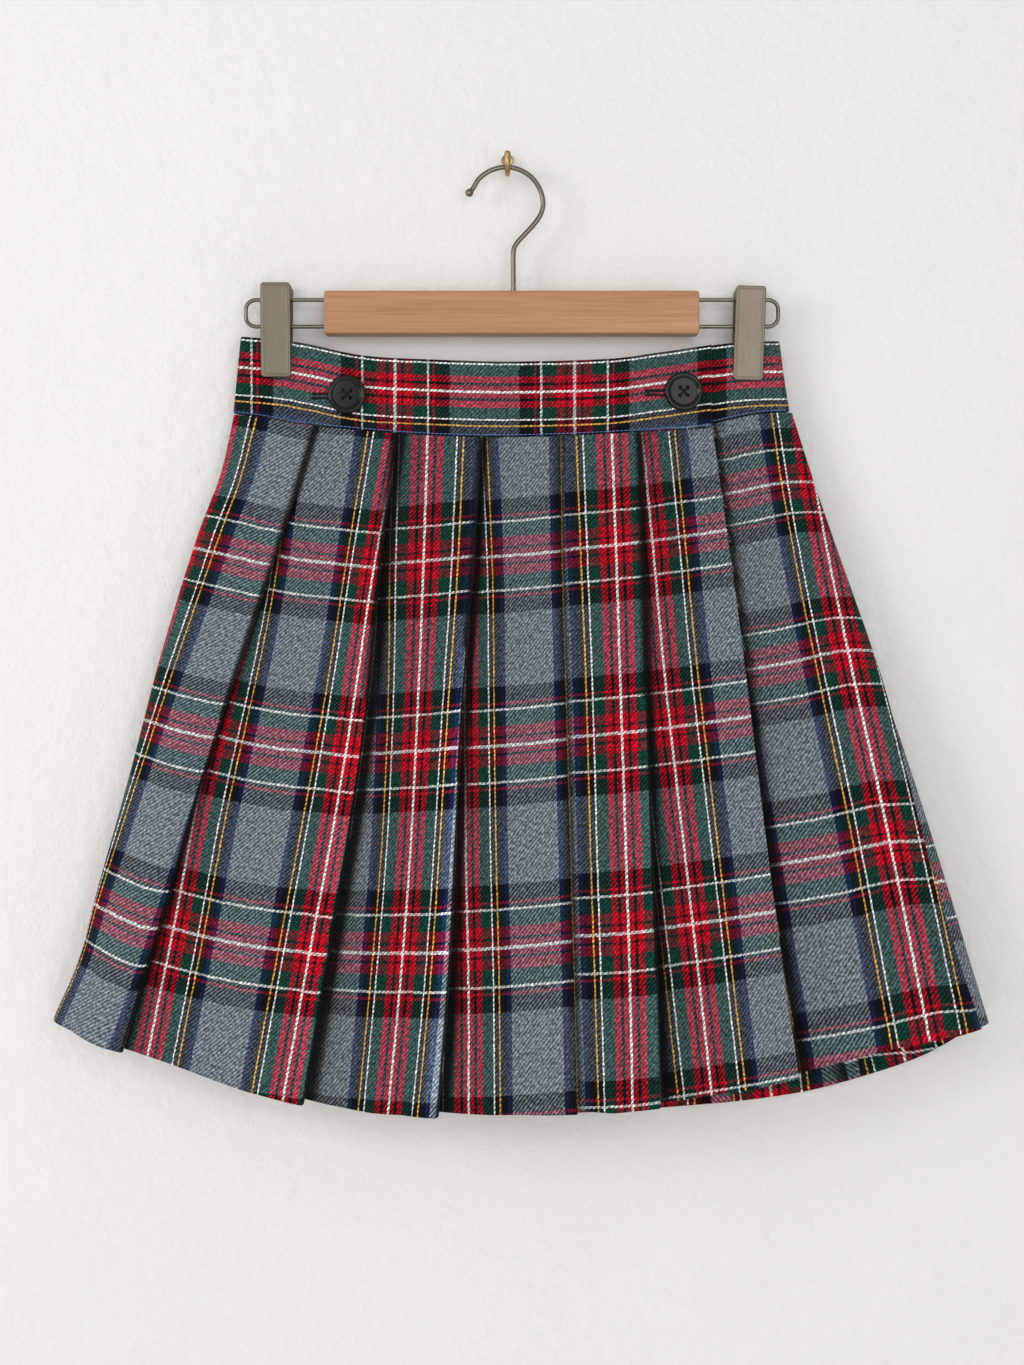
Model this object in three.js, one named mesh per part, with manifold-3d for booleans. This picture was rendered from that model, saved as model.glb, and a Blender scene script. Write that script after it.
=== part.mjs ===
// A pleated tartan wrap skirt, held by two clips on a wooden bar hanger that hangs on a brass wall hook.
// Millimetres. X is the viewer's right, Y points into the wall and Z is up. The origin is the centre of
// the wall hook's flat back face.
import * as THREE from 'three';
import { mergeVertices } from 'three/addons/utils/BufferGeometryUtils.js';
import Module from 'manifold-3d';

// ---------------------------------------------------------------------------------------------- sizes
const CLOTH = 1.0; // one layer of the skirt
const BAND = 2.4; // the waistband, folded double over its stiffening
const SEAM_GAP = 0.3; // between pieces that are sewn together or touch
const WAIST_GAP = 0.7; // between the waistband and the skirt, whose edges are curved
const PITCH = CLOTH + 0.5; // from layer to layer in a pressed pleat
const WRAP_LIFT = CLOTH + 0.7; // the front wrap's middle, above that of the wrap's inner end
const BAND_LIFT = BAND + 0.35; // the same for the two ends of the band

const WIRE_Y = -12.7; // the plane of the hanger's wires, the clips' middle and the wall hook's trough
const ROWS = 8; // steps from the waist seam to the hem

// The waistband's ring and the skirt's, from above. left and right are its ends, mid the depth of its
// middle plane, round the half depth at the ends, turn the length over which an end rounds off, bow and
// hind how far the front and the back belly out, and reach the share of the half width that bellies.
const BAND_RING = [
  { at: 0, left: -159.1, right: 162.2, mid: WIRE_Y, round: 1.8, turn: 1.8, bow: 7, hind: 1.8, reach: 0.84 },
  { at: 0.5, left: -161.3, right: 165, mid: WIRE_Y, round: 1.8, turn: 1.8, bow: 7.8, hind: 2, reach: 0.84 },
  { at: 1, left: -163.5, right: 168.2, mid: WIRE_Y, round: 2.2, turn: 2.4, bow: 8.5, hind: 2.2, reach: 0.86 },
];
const SKIRT_RING = [
  { at: 0, left: -163.5, right: 168.2, mid: WIRE_Y, round: 2.2, turn: 2.4, bow: 8.5, hind: 2.2, reach: 0.86 },
  { at: 0.1, left: -171.6, right: 179.6, mid: -13.8, round: 3.8, turn: 9, bow: 9.3, hind: 2.2, reach: 0.9 },
  { at: 0.2, left: -184.8, right: 191.6, mid: -15.5, round: 6, turn: 14, bow: 9, hind: 2, reach: 0.95 },
  { at: 0.4, left: -206.4, right: 216.8, mid: -19, round: 9.5, turn: 22, bow: 8.5, hind: 1.5, reach: 1 },
  { at: 0.6, left: -224.6, right: 240.8, mid: -22.5, round: 13, turn: 30, bow: 8, hind: 1.5, reach: 1 },
  { at: 0.8, left: -244.4, right: 263.2, mid: -25, round: 16, turn: 36, bow: 7.5, hind: 1, reach: 1 },
  { at: 0.9, left: -253.6, right: 273.9, mid: -26, round: 17, turn: 38, bow: 7.2, hind: 1, reach: 1 },
  { at: 1, left: -268.8, right: 284.8, mid: -27, round: 18, turn: 40, bow: 7, hind: 1, reach: 1 },
];

// Heights of the sewn edges. at runs from -1 at the left end of a ring to 1 at its right end.
const BAND_TOP = [
  { at: -1.0, z: -108.8 }, { at: -0.81, z: -111.8 }, { at: -0.55, z: -120.7 }, { at: -0.29, z: -123.7 },
  { at: 0.0, z: -125.2 }, { at: 0.37, z: -123.1 }, { at: 0.57, z: -118.6 }, { at: 0.83, z: -112.6 },
  { at: 1.0, z: -111.5 },
];
const SEAM = [
  { at: -1.0, z: -154.8 }, { at: -0.9, z: -156.9 }, { at: -0.75, z: -161.3 }, { at: -0.5, z: -165.9 },
  { at: -0.25, z: -169.1 }, { at: 0.0, z: -169.9 }, { at: 0.25, z: -168.5 }, { at: 0.5, z: -165.8 },
  { at: 0.75, z: -162.6 }, { at: 1.0, z: -158.0 },
];
const INNER_SEAM = [
  { at: -1.0, z: -154.8 }, { at: -0.9, z: -156.9 }, { at: -0.5, z: -165.0 }, { at: 0.0, z: -168.6 },
  { at: 0.5, z: -164.6 }, { at: 0.72, z: -160.5 }, { at: 0.82, z: -156.8 }, { at: 0.9, z: -154.6 },
  { at: 1.0, z: -153.8 },
];
const HEM = [
  { at: -1.0, z: -516.1 }, { at: -0.9, z: -525.1 }, { at: -0.75, z: -536.4 }, { at: -0.5, z: -555.8 },
  { at: -0.25, z: -563.8 }, { at: 0.0, z: -565.4 }, { at: 0.25, z: -561.1 }, { at: 0.5, z: -549.6 },
  { at: 0.75, z: -532.6 }, { at: 0.9, z: -523.9 }, { at: 1.0, z: -517.5 },
];
const BACK_HEM = [
  { at: -1.0, z: -514.9 }, { at: -0.75, z: -540.0 }, { at: -0.5, z: -560.0 }, { at: -0.25, z: -571.0 },
  { at: 0.0, z: -575.5 }, { at: 0.34, z: -571.0 }, { at: 0.6, z: -562.8 }, { at: 0.76, z: -551.3 },
  { at: 0.89, z: -538.0 }, { at: 1.0, z: -517.5 },
];

// The front pleats, from the left. x is the fold's edge, under the hidden cloth's depth below it, rise how
// far the fold stands out and open how far it gapes, at the waist seam, on the way down and at the hem.
const FRONT_PLEATS = [
  [
    { at: 0.0, x: -114.0, under: 33, rise: 3.2, open: 1.5 },
    { at: 0.2, x: -136.3, under: 27, rise: 3.6, open: 1.6 },
    { at: 0.4, x: -160.0, under: 19, rise: 4.4, open: 1.9 },
    { at: 0.6, x: -182.4, under: 13, rise: 5.2, open: 2.2 },
    { at: 0.8, x: -202.4, under: 8, rise: 5.8, open: 2.6 },
    { at: 1.0, x: -224.1, under: 5, rise: 6.4, open: 3.0 },
  ],
  [
    { at: 0.0, x: -65.8, under: 34, rise: 3.2, open: 1.5 },
    { at: 0.2, x: -74.6, under: 29, rise: 4.0, open: 1.7 },
    { at: 0.4, x: -81.6, under: 24, rise: 5.4, open: 2.0 },
    { at: 0.6, x: -91.8, under: 18, rise: 7.0, open: 2.6 },
    { at: 0.8, x: -105.0, under: 13, rise: 8.0, open: 3.4 },
    { at: 1.0, x: -117.9, under: 10, rise: 9.0, open: 4.4 },
  ],
  [
    { at: 0.0, x: -15.8, under: 34, rise: 3.2, open: 1.5 },
    { at: 0.2, x: -20.1, under: 32, rise: 4.2, open: 1.7 },
    { at: 0.4, x: -26.2, under: 30, rise: 5.6, open: 2.4 },
    { at: 0.6, x: -30.0, under: 26, rise: 7.2, open: 4.0 },
    { at: 0.8, x: -33.8, under: 22, rise: 8.2, open: 5.2 },
    { at: 1.0, x: -40.0, under: 18, rise: 9.0, open: 5.8 },
  ],
  [
    { at: 0.0, x: 31.3, under: 34, rise: 3.2, open: 1.5 },
    { at: 0.2, x: 32.1, under: 34, rise: 3.4, open: 1.5 },
    { at: 0.4, x: 34.3, under: 34, rise: 3.8, open: 1.6 },
    { at: 0.6, x: 36.4, under: 34, rise: 4.2, open: 1.7 },
    { at: 0.8, x: 38.5, under: 34, rise: 4.8, open: 1.9 },
    { at: 1.0, x: 40.4, under: 34, rise: 5.4, open: 2.2 },
  ],
  [
    { at: 0.0, x: 77.7, under: 33, rise: 3.2, open: 1.5 },
    { at: 0.2, x: 79.9, under: 32, rise: 3.8, open: 1.7 },
    { at: 0.4, x: 81.4, under: 31, rise: 4.8, open: 2.0 },
    { at: 0.6, x: 83.7, under: 28, rise: 6.0, open: 2.6 },
    { at: 0.8, x: 86.4, under: 24, rise: 7.2, open: 3.2 },
    { at: 1.0, x: 88.5, under: 21, rise: 8.0, open: 3.8 },
  ],
];
// The wrap: its free edge and how far that stands off, the hidden inner end's left edge, and how far round
// the right side, short of the ring's end, the inner end laps over the back.
const WRAP = [
  { at: 0.0, edge: 122.4, lip: 0.0, inner: -104, side: 0 },
  { at: 0.2, edge: 131.9, lip: 1.2, inner: -108, side: 0 },
  { at: 0.4, edge: 140.9, lip: 2.4, inner: -112, side: 1 },
  { at: 0.6, edge: 149.3, lip: 3.4, inner: -116, side: 9 },
  { at: 0.8, edge: 158.6, lip: 4.2, inner: -120, side: 14 },
  { at: 1.0, edge: 169.2, lip: 5.0, inner: -124, side: 13 },
];
const HEM_DROP = 0.25; // how much lower the hem hangs for each millimetre that the cloth stands out
const SIDE_LAP = 14; // how far the wrap's inner end lies over the back at the right side
const SIDE_LIFT = CLOTH + 0.9; // the inner end's middle there, above the back's

// The back pleats, from the right: the fold's edge as a share of the back's length.
const BACK_PLEATS = [
  [
    { at: 0, share: 0.17, under: 30, rise: 3.1, open: 1.5 },
    { at: 1, share: 0.155, under: 8, rise: 4.4, open: 2.2 },
  ],
  [
    { at: 0, share: 0.31, under: 31, rise: 3.1, open: 1.5 },
    { at: 1, share: 0.3, under: 14, rise: 4.8, open: 2.4 },
  ],
  [
    { at: 0, share: 0.45, under: 32, rise: 3.1, open: 1.5 },
    { at: 1, share: 0.45, under: 20, rise: 5.0, open: 2.6 },
  ],
  [
    { at: 0, share: 0.59, under: 32, rise: 3.1, open: 1.5 },
    { at: 1, share: 0.59, under: 24, rise: 4.6, open: 2.2 },
  ],
  [
    { at: 0, share: 0.73, under: 31, rise: 3.1, open: 1.5 },
    { at: 1, share: 0.735, under: 16, rise: 5.0, open: 2.4 },
  ],
  [
    { at: 0, share: 0.87, under: 30, rise: 3.1, open: 1.5 },
    { at: 1, share: 0.875, under: 9, rise: 4.4, open: 2.2 },
  ],
];

const BAR = { left: -109.5, right: 114.5, top: -82.2, bottom: -107.6, depth: 14, edge: 1.8 };
const LOOP = {
  wire: 2.4, upper: -86.6, lower: -102.6, left: -158.1, right: 163.5, corner: 6, sunk: 12, bore: 3,
};
const HOOK = { wire: 3.0, stem: 3.5, sunk: 10, bore: 3.6, x: -0.9, z: -29.2, radius: 22.2, ball: 2.5 };
const WALL_HOOK = { wire: 3.5, flange: 3.6, thick: 1.5, trough: 6, bottom: -10.7, tip: 1.6 };
const CLIP = { width: 18, height: 56, plate: 1.4, jaw: 3.3, corner: 2.2, spring: 6.4, springLength: 13 };
const CLIPS = [
  { name: 'left', x: -138.4, top: -76.9, lean: 0 },
  { name: 'right', x: 144.9, top: -78.9, lean: 1.6 },
];
const BUTTON = { radius: 11.5, thick: 3.2, holes: 2.3, hole: 1.7 };
const BUTTONS = [
  { name: 'left', x: -95.2, z: -144.5 },
  { name: 'right', x: 104.6, z: -142.7 },
];

// ------------------------------------------------------------------------------------------ materials
const cloth = (color) => new THREE.MeshStandardMaterial({ color, roughness: 0.9, metalness: 0 });
const metal = (color, roughness) => new THREE.MeshStandardMaterial({ color, roughness, metalness: 1 });
const LOOKS = {
  tartan: () => cloth(0x5c3a44),
  band: () => cloth(0x4a3038),
  wood: () => new THREE.MeshStandardMaterial({ color: 0xb98a63, roughness: 0.55, metalness: 0 }),
  steel: () => metal(0x8f887c, 0.35),
  nickel: () => metal(0x8c8375, 0.4),
  brass: () => metal(0xa58c69, 0.35),
  plastic: () => new THREE.MeshStandardMaterial({ color: 0x16161a, roughness: 0.3, metalness: 0 }),
};

const skirt = new THREE.Group();
function add(name, geometry, material, parent = skirt) {
  const mesh = new THREE.Mesh(geometry, material);
  mesh.name = name;
  parent.add(mesh);
  return mesh;
}

// ------------------------------------------------------------------------------- reading the tables
// A smooth curve through one column of a table, whose rows stand at rising values of at.
function read(table, column, at) {
  const last = table.length - 1;
  let i = 0;
  while (i < last - 1 && at > table[i + 1].at) i += 1;
  const slope = (k) => {
    const before = table[Math.max(k - 1, 0)];
    const after = table[Math.min(k + 1, last)];
    return (after[column] - before[column]) / (after.at - before.at);
  };
  const span = table[i + 1].at - table[i].at;
  const t = THREE.MathUtils.clamp((at - table[i].at) / span, 0, 1);
  const from = table[i][column] * (2 * t ** 3 - 3 * t ** 2 + 1) + slope(i) * span * (t ** 3 - 2 * t ** 2 + t);
  const to = table[i + 1][column] * (3 * t ** 2 - 2 * t ** 3) + slope(i + 1) * span * (t ** 3 - t ** 2);
  return from + to;
}

function readRow(table, at) {
  const columns = Object.keys(table[0]).filter((name) => name !== 'at');
  return Object.fromEntries(columns.map((name) => [name, read(table, name, at)]));
}

// ------------------------------------------------------------------------------------ the plan ring
// The ring seen from above: along the front from left to right, then back along the back. A place on it
// is a length s from the left end, and a point stands off it by a distance outward.
function planRing({ left, right, mid, round, turn, bow, hind, reach }) {
  const half = (right - left) / 2;
  const belly = (x) => {
    const share = Math.min(Math.abs(x - left - half) / half / reach, 1);
    return Math.cos((share * Math.PI) / 2) ** 2;
  };
  const turnSteps = 16;
  const flatSteps = 64;
  const front = [];
  for (let i = 0; i <= turnSteps; i += 1) {
    const angle = ((i / turnSteps) * Math.PI) / 2;
    front.push([left + turn * (1 - Math.cos(angle)), Math.sin(angle)]);
  }
  for (let i = 1; i < flatSteps; i += 1) {
    front.push([left + turn + (i / flatSteps) * (2 * half - 2 * turn), 1]);
  }
  for (let i = turnSteps; i >= 0; i -= 1) {
    const angle = ((i / turnSteps) * Math.PI) / 2;
    front.push([right - turn * (1 - Math.cos(angle)), Math.sin(angle)]);
  }
  const points = front.map(([x, cap]) => new THREE.Vector2(x, mid - round * cap - bow * belly(x)));
  const corner = points.length - 1;
  for (const [x, cap] of front.slice(0, -1).reverse()) {
    points.push(new THREE.Vector2(x, mid + round * cap + hind * belly(x)));
  }
  const lengths = [0];
  for (let i = 1; i < points.length; i += 1) {
    lengths.push(lengths[i - 1] + points[i].distanceTo(points[i - 1]));
  }
  const total = lengths[lengths.length - 1];
  const outward = points.map((point, i) => {
    const before = points[i === 0 ? points.length - 2 : i - 1];
    const after = points[i === points.length - 1 ? 1 : i + 1];
    const along = after.clone().sub(before).normalize();
    return new THREE.Vector2(along.y, -along.x);
  });
  const place = (s, off) => {
    let i = 0;
    while (i < points.length - 2 && lengths[i + 1] < s) i += 1;
    const t = (s - lengths[i]) / (lengths[i + 1] - lengths[i]);
    const normal = outward[i].clone().lerp(outward[i + 1], t).normalize();
    return points[i].clone().lerp(points[i + 1], t).addScaledVector(normal, off);
  };
  const lengthAt = (x) => {
    let i = 0;
    while (i < corner - 1 && points[i + 1].x < x) i += 1;
    const t = (x - points[i].x) / (points[i + 1].x - points[i].x);
    return lengths[i] + t * (lengths[i + 1] - lengths[i]);
  };
  return {
    total,
    turnLength: lengths[turnSteps],
    front: lengths[corner],
    place,
    lengthAt,
    across: (s) => (place(s, 0).x - left) / half - 1,
  };
}

// ---------------------------------------------------------------------------------- walls of cloth
// A closed wall from rows of middle points: the rows run down the cloth and the points in a row run
// along it, with the cloth's outside on their right. It has two faces, and a rim on each of its edges.
function clothWall(rows, thickness) {
  const count = rows[0].length;
  const sides = [1, -1].map((side) => rows.map((row) => row.map((point, j) => {
    const before = row[Math.max(j - 1, 0)];
    const after = row[Math.min(j + 1, count - 1)];
    const a = new THREE.Vector2(point.x - before.x, point.y - before.y).normalize();
    const b = new THREE.Vector2(after.x - point.x, after.y - point.y).normalize();
    const along = a.clone().add(b).normalize();
    const straight = j === 0 ? b : a;
    const mitre = 1 / Math.max(Math.abs(along.dot(straight)), 0.75);
    const reach = (side * mitre * thickness) / 2;
    return [point.x + along.y * reach, point.y - along.x * reach, point.z];
  })));
  const positions = sides.flat(2);
  const at = (side, i, j) => (side * rows.length + i) * count + j;
  const triangles = [];
  const quad = (a, b, c, d) => triangles.push(a, b, c, a, c, d);
  const bottom = rows.length - 1;
  const end = count - 1;
  for (let i = 0; i < bottom; i += 1) {
    for (let j = 0; j < end; j += 1) {
      quad(at(0, i, j), at(0, i + 1, j), at(0, i + 1, j + 1), at(0, i, j + 1));
      quad(at(1, i, j), at(1, i, j + 1), at(1, i + 1, j + 1), at(1, i + 1, j));
    }
    quad(at(0, i, 0), at(1, i, 0), at(1, i + 1, 0), at(0, i + 1, 0));
    quad(at(0, i, end), at(0, i + 1, end), at(1, i + 1, end), at(1, i, end));
  }
  for (let j = 0; j < end; j += 1) {
    quad(at(0, 0, j), at(0, 0, j + 1), at(1, 0, j + 1), at(1, 0, j));
    quad(at(0, bottom, j), at(1, bottom, j), at(1, bottom, j + 1), at(0, bottom, j + 1));
  }
  const geometry = new THREE.BufferGeometry();
  geometry.setAttribute('position', new THREE.Float32BufferAttribute(positions.flat(), 3));
  geometry.setIndex(triangles);
  geometry.computeVertexNormals();
  return geometry;
}

// The way of the cloth through knife pleats, as pairs of a length along the ring and a distance off it.
// Each panel leaves the fold hidden under its left neighbour, rises to its own edge, turns back below
// itself there, and folds forward again into the next panel.
function pleatWay(lead, pleats, tail) {
  const way = [...lead];
  let clear = lead[lead.length - 1][0];
  for (const { edge, under, rise, open } of pleats) {
    const fold = edge - under;
    const shoulder = Math.max(2 * PITCH + 0.1, rise - 0.06 * under);
    const valley = clear + 1;
    const brow = fold - PITCH;
    for (const share of [0, 0.2, 0.45, 0.7, 1]) {
      const height = shoulder * (1 - (1 - share) ** 1.6);
      way.push([valley + share * (brow - valley), height]);
    }
    const gape = open / 2;
    way.push([fold + (edge - gape - fold) / 2, (shoulder + rise) / 2 + 0.1]);
    for (let i = 0; i <= 4; i += 1) {
      const angle = Math.PI * (0.5 - i / 4);
      way.push([edge - gape + gape * Math.cos(angle), rise - gape + gape * Math.sin(angle)]);
    }
    way.push([(fold + PITCH / 2 + edge - gape) / 2, (rise - open + PITCH) / 2]);
    for (let i = 0; i <= 3; i += 1) {
      const angle = Math.PI * (0.5 + i / 3);
      way.push([fold + PITCH / 2 + (PITCH / 2) * Math.cos(angle), PITCH / 2 + (PITCH / 2) * Math.sin(angle)]);
    }
    clear = edge;
  }
  return [...way, ...tail(clear + 1)];
}

// The cloth from its seam to its hem, from the way it takes on each row. What stands out hangs lower.
function skirtPiece(seam, hemAt, wayAt) {
  const rows = [];
  for (let i = 0; i <= ROWS; i += 1) {
    const down = i / ROWS;
    const ring = planRing(readRow(SKIRT_RING, down));
    rows.push(wayAt(down, ring).map(([s, off]) => {
      const { x, y } = ring.place(s, off);
      const across = ring.across(s);
      const top = read(seam, 'z', across) - WAIST_GAP;
      const bottom = hemAt(across, s < ring.front) - HEM_DROP * off;
      return { x, y, z: THREE.MathUtils.lerp(top, bottom, down) };
    }));
  }
  return clothWall(rows, CLOTH);
}

// Even steps from one length to another, the same without the first, and the steps round a sewn end.
const along = (from, to, steps) => (
  Array.from({ length: steps + 1 }, (_, i) => from + ((to - from) * i) / steps)
);
const onward = (from, to, steps) => along(from, to, steps).slice(1);
const sewnEnd = (end, turned) => {
  const inward = Math.sign(turned - end);
  return [end + inward * SEAM_GAP, ...along(end + inward * (SEAM_GAP + 0.2), turned, 3)];
};

// The front wrap: from the left side seam over five pleats to its free edge.
function frontWrap(down, ring) {
  const wrap = readRow(WRAP, down);
  const inner = ring.lengthAt(wrap.inner);
  const lifted = ring.lengthAt(THREE.MathUtils.lerp(wrap.inner, -163.5 - 105 * down, 0.6));
  const pleats = FRONT_PLEATS.map((table) => {
    const pleat = readRow(table, down);
    return { ...pleat, edge: ring.lengthAt(pleat.x) };
  });
  const firstFold = pleats[0].edge - pleats[0].under;
  const lead = sewnEnd(0, Math.min(ring.turnLength, 0.4 * firstFold)).map((s) => [s, 0]);
  const free = ring.lengthAt(wrap.edge);
  const tail = (valley) => [0, 0.25, 0.5, 0.75, 1].map((share) => (
    [valley + share * (free - valley), wrap.lip * (1 - (1 - share) ** 1.6)]
  ));
  return pleatWay(lead, pleats, tail).map(([s, off]) => (
    [s, off + WRAP_LIFT * THREE.MathUtils.smoothstep(s, lifted, inner - 4)]
  ));
}

// The wrap's inner end: flat under the front, then round the right side, where it laps over the back.
function innerEnd(down, ring) {
  const wrap = readRow(WRAP, down);
  const start = ring.lengthAt(wrap.inner);
  const end = ring.front - wrap.side;
  const lap = end - SIDE_LAP - 8;
  const turned = end - Math.min(ring.turnLength, 6);
  const lapped = [...onward(lap, turned, 6), ...onward(turned, end, 4)];
  return [
    ...along(start, lap, 12).map((s) => [s, 0]),
    ...lapped.map((s) => [s, SIDE_LIFT * THREE.MathUtils.smoothstep(s, lap, lap + 7)]),
  ];
}

// The back: from under the wrap's inner end, round the right side, over six pleats to the left side seam.
function backPanel(down, ring) {
  const wrap = readRow(WRAP, down);
  const start = ring.front - wrap.side - SIDE_LAP;
  const turning = ring.front - Math.min(ring.turnLength, 6);
  const turned = ring.front + ring.turnLength;
  const lead = [
    ...along(start, turning, 3),
    ...onward(turning, ring.front, 3),
    ...onward(ring.front, turned, 4),
  ];
  const back = ring.total - ring.front;
  const pleats = BACK_PLEATS.map((table) => {
    const pleat = readRow(table, down);
    return { ...pleat, edge: ring.front + pleat.share * back };
  });
  const lastTurn = Math.min(ring.turnLength, 0.6 * (ring.total - pleats[pleats.length - 1].edge));
  const sewn = sewnEnd(ring.total, ring.total - lastTurn).reverse();
  const tail = (valley) => [...along(valley, sewn[0], 3).slice(0, -1), ...sewn].map((s) => [s, 0]);
  return pleatWay(lead.map((s) => [s, 0]), pleats, tail);
}

const frontHem = (across) => read(HEM, 'z', across);
const backHem = (across, inFront) => read(inFront ? HEM : BACK_HEM, 'z', across);
add('apron_over', skirtPiece(SEAM, frontHem, frontWrap), LOOKS.tartan());
add('apron_under', skirtPiece(INNER_SEAM, frontHem, innerEnd), LOOKS.tartan());
add('back_panel', skirtPiece(INNER_SEAM, backHem, backPanel), LOOKS.tartan());

// ---------------------------------------------------------------------------------------- waistband
function bandPiece(seam, wayAt) {
  const steps = 3;
  const rows = [];
  for (let i = 0; i <= steps; i += 1) {
    const down = i / steps;
    const ring = planRing(readRow(BAND_RING, down));
    rows.push(wayAt(ring).map(([s, off]) => {
      const { x, y } = ring.place(s, off);
      const across = ring.across(s);
      return { x, y, z: THREE.MathUtils.lerp(read(BAND_TOP, 'z', across), read(seam, 'z', across), down) };
    }));
  }
  return clothWall(rows, BAND);
}

// The ends of the band that lie on each other, and where the outer one rises off the inner one.
const BAND_ENDS = { outer: 121.8, inner: -109, riseFrom: -128, riseTo: -112 };
function outerBandLift(ring, s) {
  const rise = [ring.lengthAt(BAND_ENDS.riseFrom), ring.lengthAt(BAND_ENDS.riseTo)];
  return BAND_LIFT * THREE.MathUtils.smoothstep(s, ...rise);
}

add('waistband_over', bandPiece(SEAM, (ring) => {
  const lengths = [
    ...sewnEnd(0, ring.turnLength),
    ...onward(ring.turnLength, ring.lengthAt(BAND_ENDS.outer), 30),
  ];
  return lengths.map((s) => [s, outerBandLift(ring, s)]);
}), LOOKS.band());
add('waistband_under', bandPiece(INNER_SEAM, (ring) => {
  const turned = ring.front - ring.turnLength;
  const lengths = [
    ...along(ring.lengthAt(BAND_ENDS.inner), turned, 26),
    ...sewnEnd(ring.front, turned).reverse().slice(1),
  ];
  return lengths.map((s) => [s, 0]);
}), LOOKS.band());
add('waistband_back', bandPiece(INNER_SEAM, (ring) => {
  const right = ring.front + ring.turnLength;
  const left = ring.total - ring.turnLength;
  const lengths = [
    ...sewnEnd(ring.front, right),
    ...onward(right, left, 26),
    ...sewnEnd(ring.total, left).reverse().slice(1),
  ];
  return lengths.map((s) => [s, 0]);
}), LOOKS.band());

// -------------------------------------------------------------------------------- joining and cutting
const wasm = await Module();
wasm.setup();

function solid(geometry) {
  const bare = geometry.clone();
  bare.deleteAttribute('normal');
  bare.deleteAttribute('uv');
  const merged = mergeVertices(bare, 1e-4);
  const vertProperties = new Float32Array(merged.attributes.position.array);
  const triVerts = new Uint32Array(merged.index.array);
  return new wasm.Manifold(new wasm.Mesh({ numProp: 3, vertProperties, triVerts }));
}

function fromSolid(body) {
  const { vertProperties, triVerts } = body.getMesh();
  const geometry = new THREE.BufferGeometry();
  geometry.setAttribute('position', new THREE.Float32BufferAttribute(vertProperties, 3));
  geometry.setIndex(Array.from(triVerts));
  geometry.computeVertexNormals();
  return geometry;
}

// A rod with flat ends between two points.
function rod(from, to, radius, sides = 12) {
  const length = from.distanceTo(to);
  const geometry = new THREE.CylinderGeometry(radius, radius, length, sides);
  const turn = new THREE.Quaternion().setFromUnitVectors(
    new THREE.Vector3(0, 1, 0),
    to.clone().sub(from).normalize(),
  );
  geometry.applyQuaternion(turn);
  return geometry.translate(...from.clone().add(to).multiplyScalar(0.5));
}

// A round wire along a curve.
function wire(curve, diameter, steps, sides = 8) {
  const section = new THREE.Shape();
  section.absarc(0, 0, diameter / 2, 0, 2 * Math.PI, false);
  return new THREE.ExtrudeGeometry(section, { extrudePath: curve, steps, curveSegments: sides / 2 });
}

const at = (x, z, y = WIRE_Y) => new THREE.Vector3(x, y, z);

// ------------------------------------------------------------------------------------------- buttons
const middleRing = planRing(readRow(BAND_RING, 0.5));
for (const { name, x, z } of BUTTONS) {
  const { radius, thick, holes, hole } = BUTTON;
  const profile = [
    [0, 0], [radius - 0.8, 0], [radius, 0.8], [radius, thick - 0.9], [radius - 0.6, thick - 0.2],
    [radius - 1.6, thick], [radius - 2.6, thick - 0.3], [radius - 3.4, thick - 1], [0, thick - 1.1],
  ].map(([r, h]) => new THREE.Vector2(r, h));
  let body = solid(new THREE.LatheGeometry(profile, 20));
  for (const [across, up] of [[-1, -1], [1, -1], [-1, 1], [1, 1]]) {
    const middle = new THREE.Vector3(across, 0, up).multiplyScalar(holes);
    const top = middle.clone().setY(thick + 1);
    body = body.subtract(solid(rod(middle.setY(-1), top, hole / 2, 6)));
  }
  const s = middleRing.lengthAt(x);
  const seat = middleRing.place(s, BAND_LIFT + BAND / 2 + 0.55);
  const outward = seat.clone().sub(middleRing.place(s, 0)).normalize();
  const button = add(`button_${name}`, fromSolid(body), LOOKS.plastic());
  button.quaternion.setFromUnitVectors(
    new THREE.Vector3(0, 1, 0),
    new THREE.Vector3(outward.x, outward.y, 0.02).normalize(),
  );
  button.position.set(seat.x, seat.y, z);
}

// ------------------------------------------------------------------------------- bar, loops and hook
function roundedPlate(left, right, bottom, top, corner, depth, edge, bevelSegments) {
  const shape = new THREE.Shape();
  const [l, r, b, t] = [left + edge, right - edge, bottom + edge, top - edge];
  const c = Math.max(corner - edge, 0.2);
  shape.moveTo(l + c, b);
  shape.lineTo(r - c, b).absarc(r - c, b + c, c, -Math.PI / 2, 0, false);
  shape.lineTo(r, t - c).absarc(r - c, t - c, c, 0, Math.PI / 2, false);
  shape.lineTo(l + c, t).absarc(l + c, t - c, c, Math.PI / 2, Math.PI, false);
  shape.lineTo(l, b + c).absarc(l + c, b + c, c, Math.PI, 1.5 * Math.PI, false);
  const geometry = new THREE.ExtrudeGeometry(shape, {
    depth: depth - 2 * edge,
    bevelThickness: edge,
    bevelSize: edge,
    bevelSegments,
    curveSegments: bevelSegments + 1,
  });
  // The plate's face looks along -Y and its middle plane is at y 0.
  return geometry.translate(0, 0, edge - depth / 2).rotateX(Math.PI / 2);
}

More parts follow.
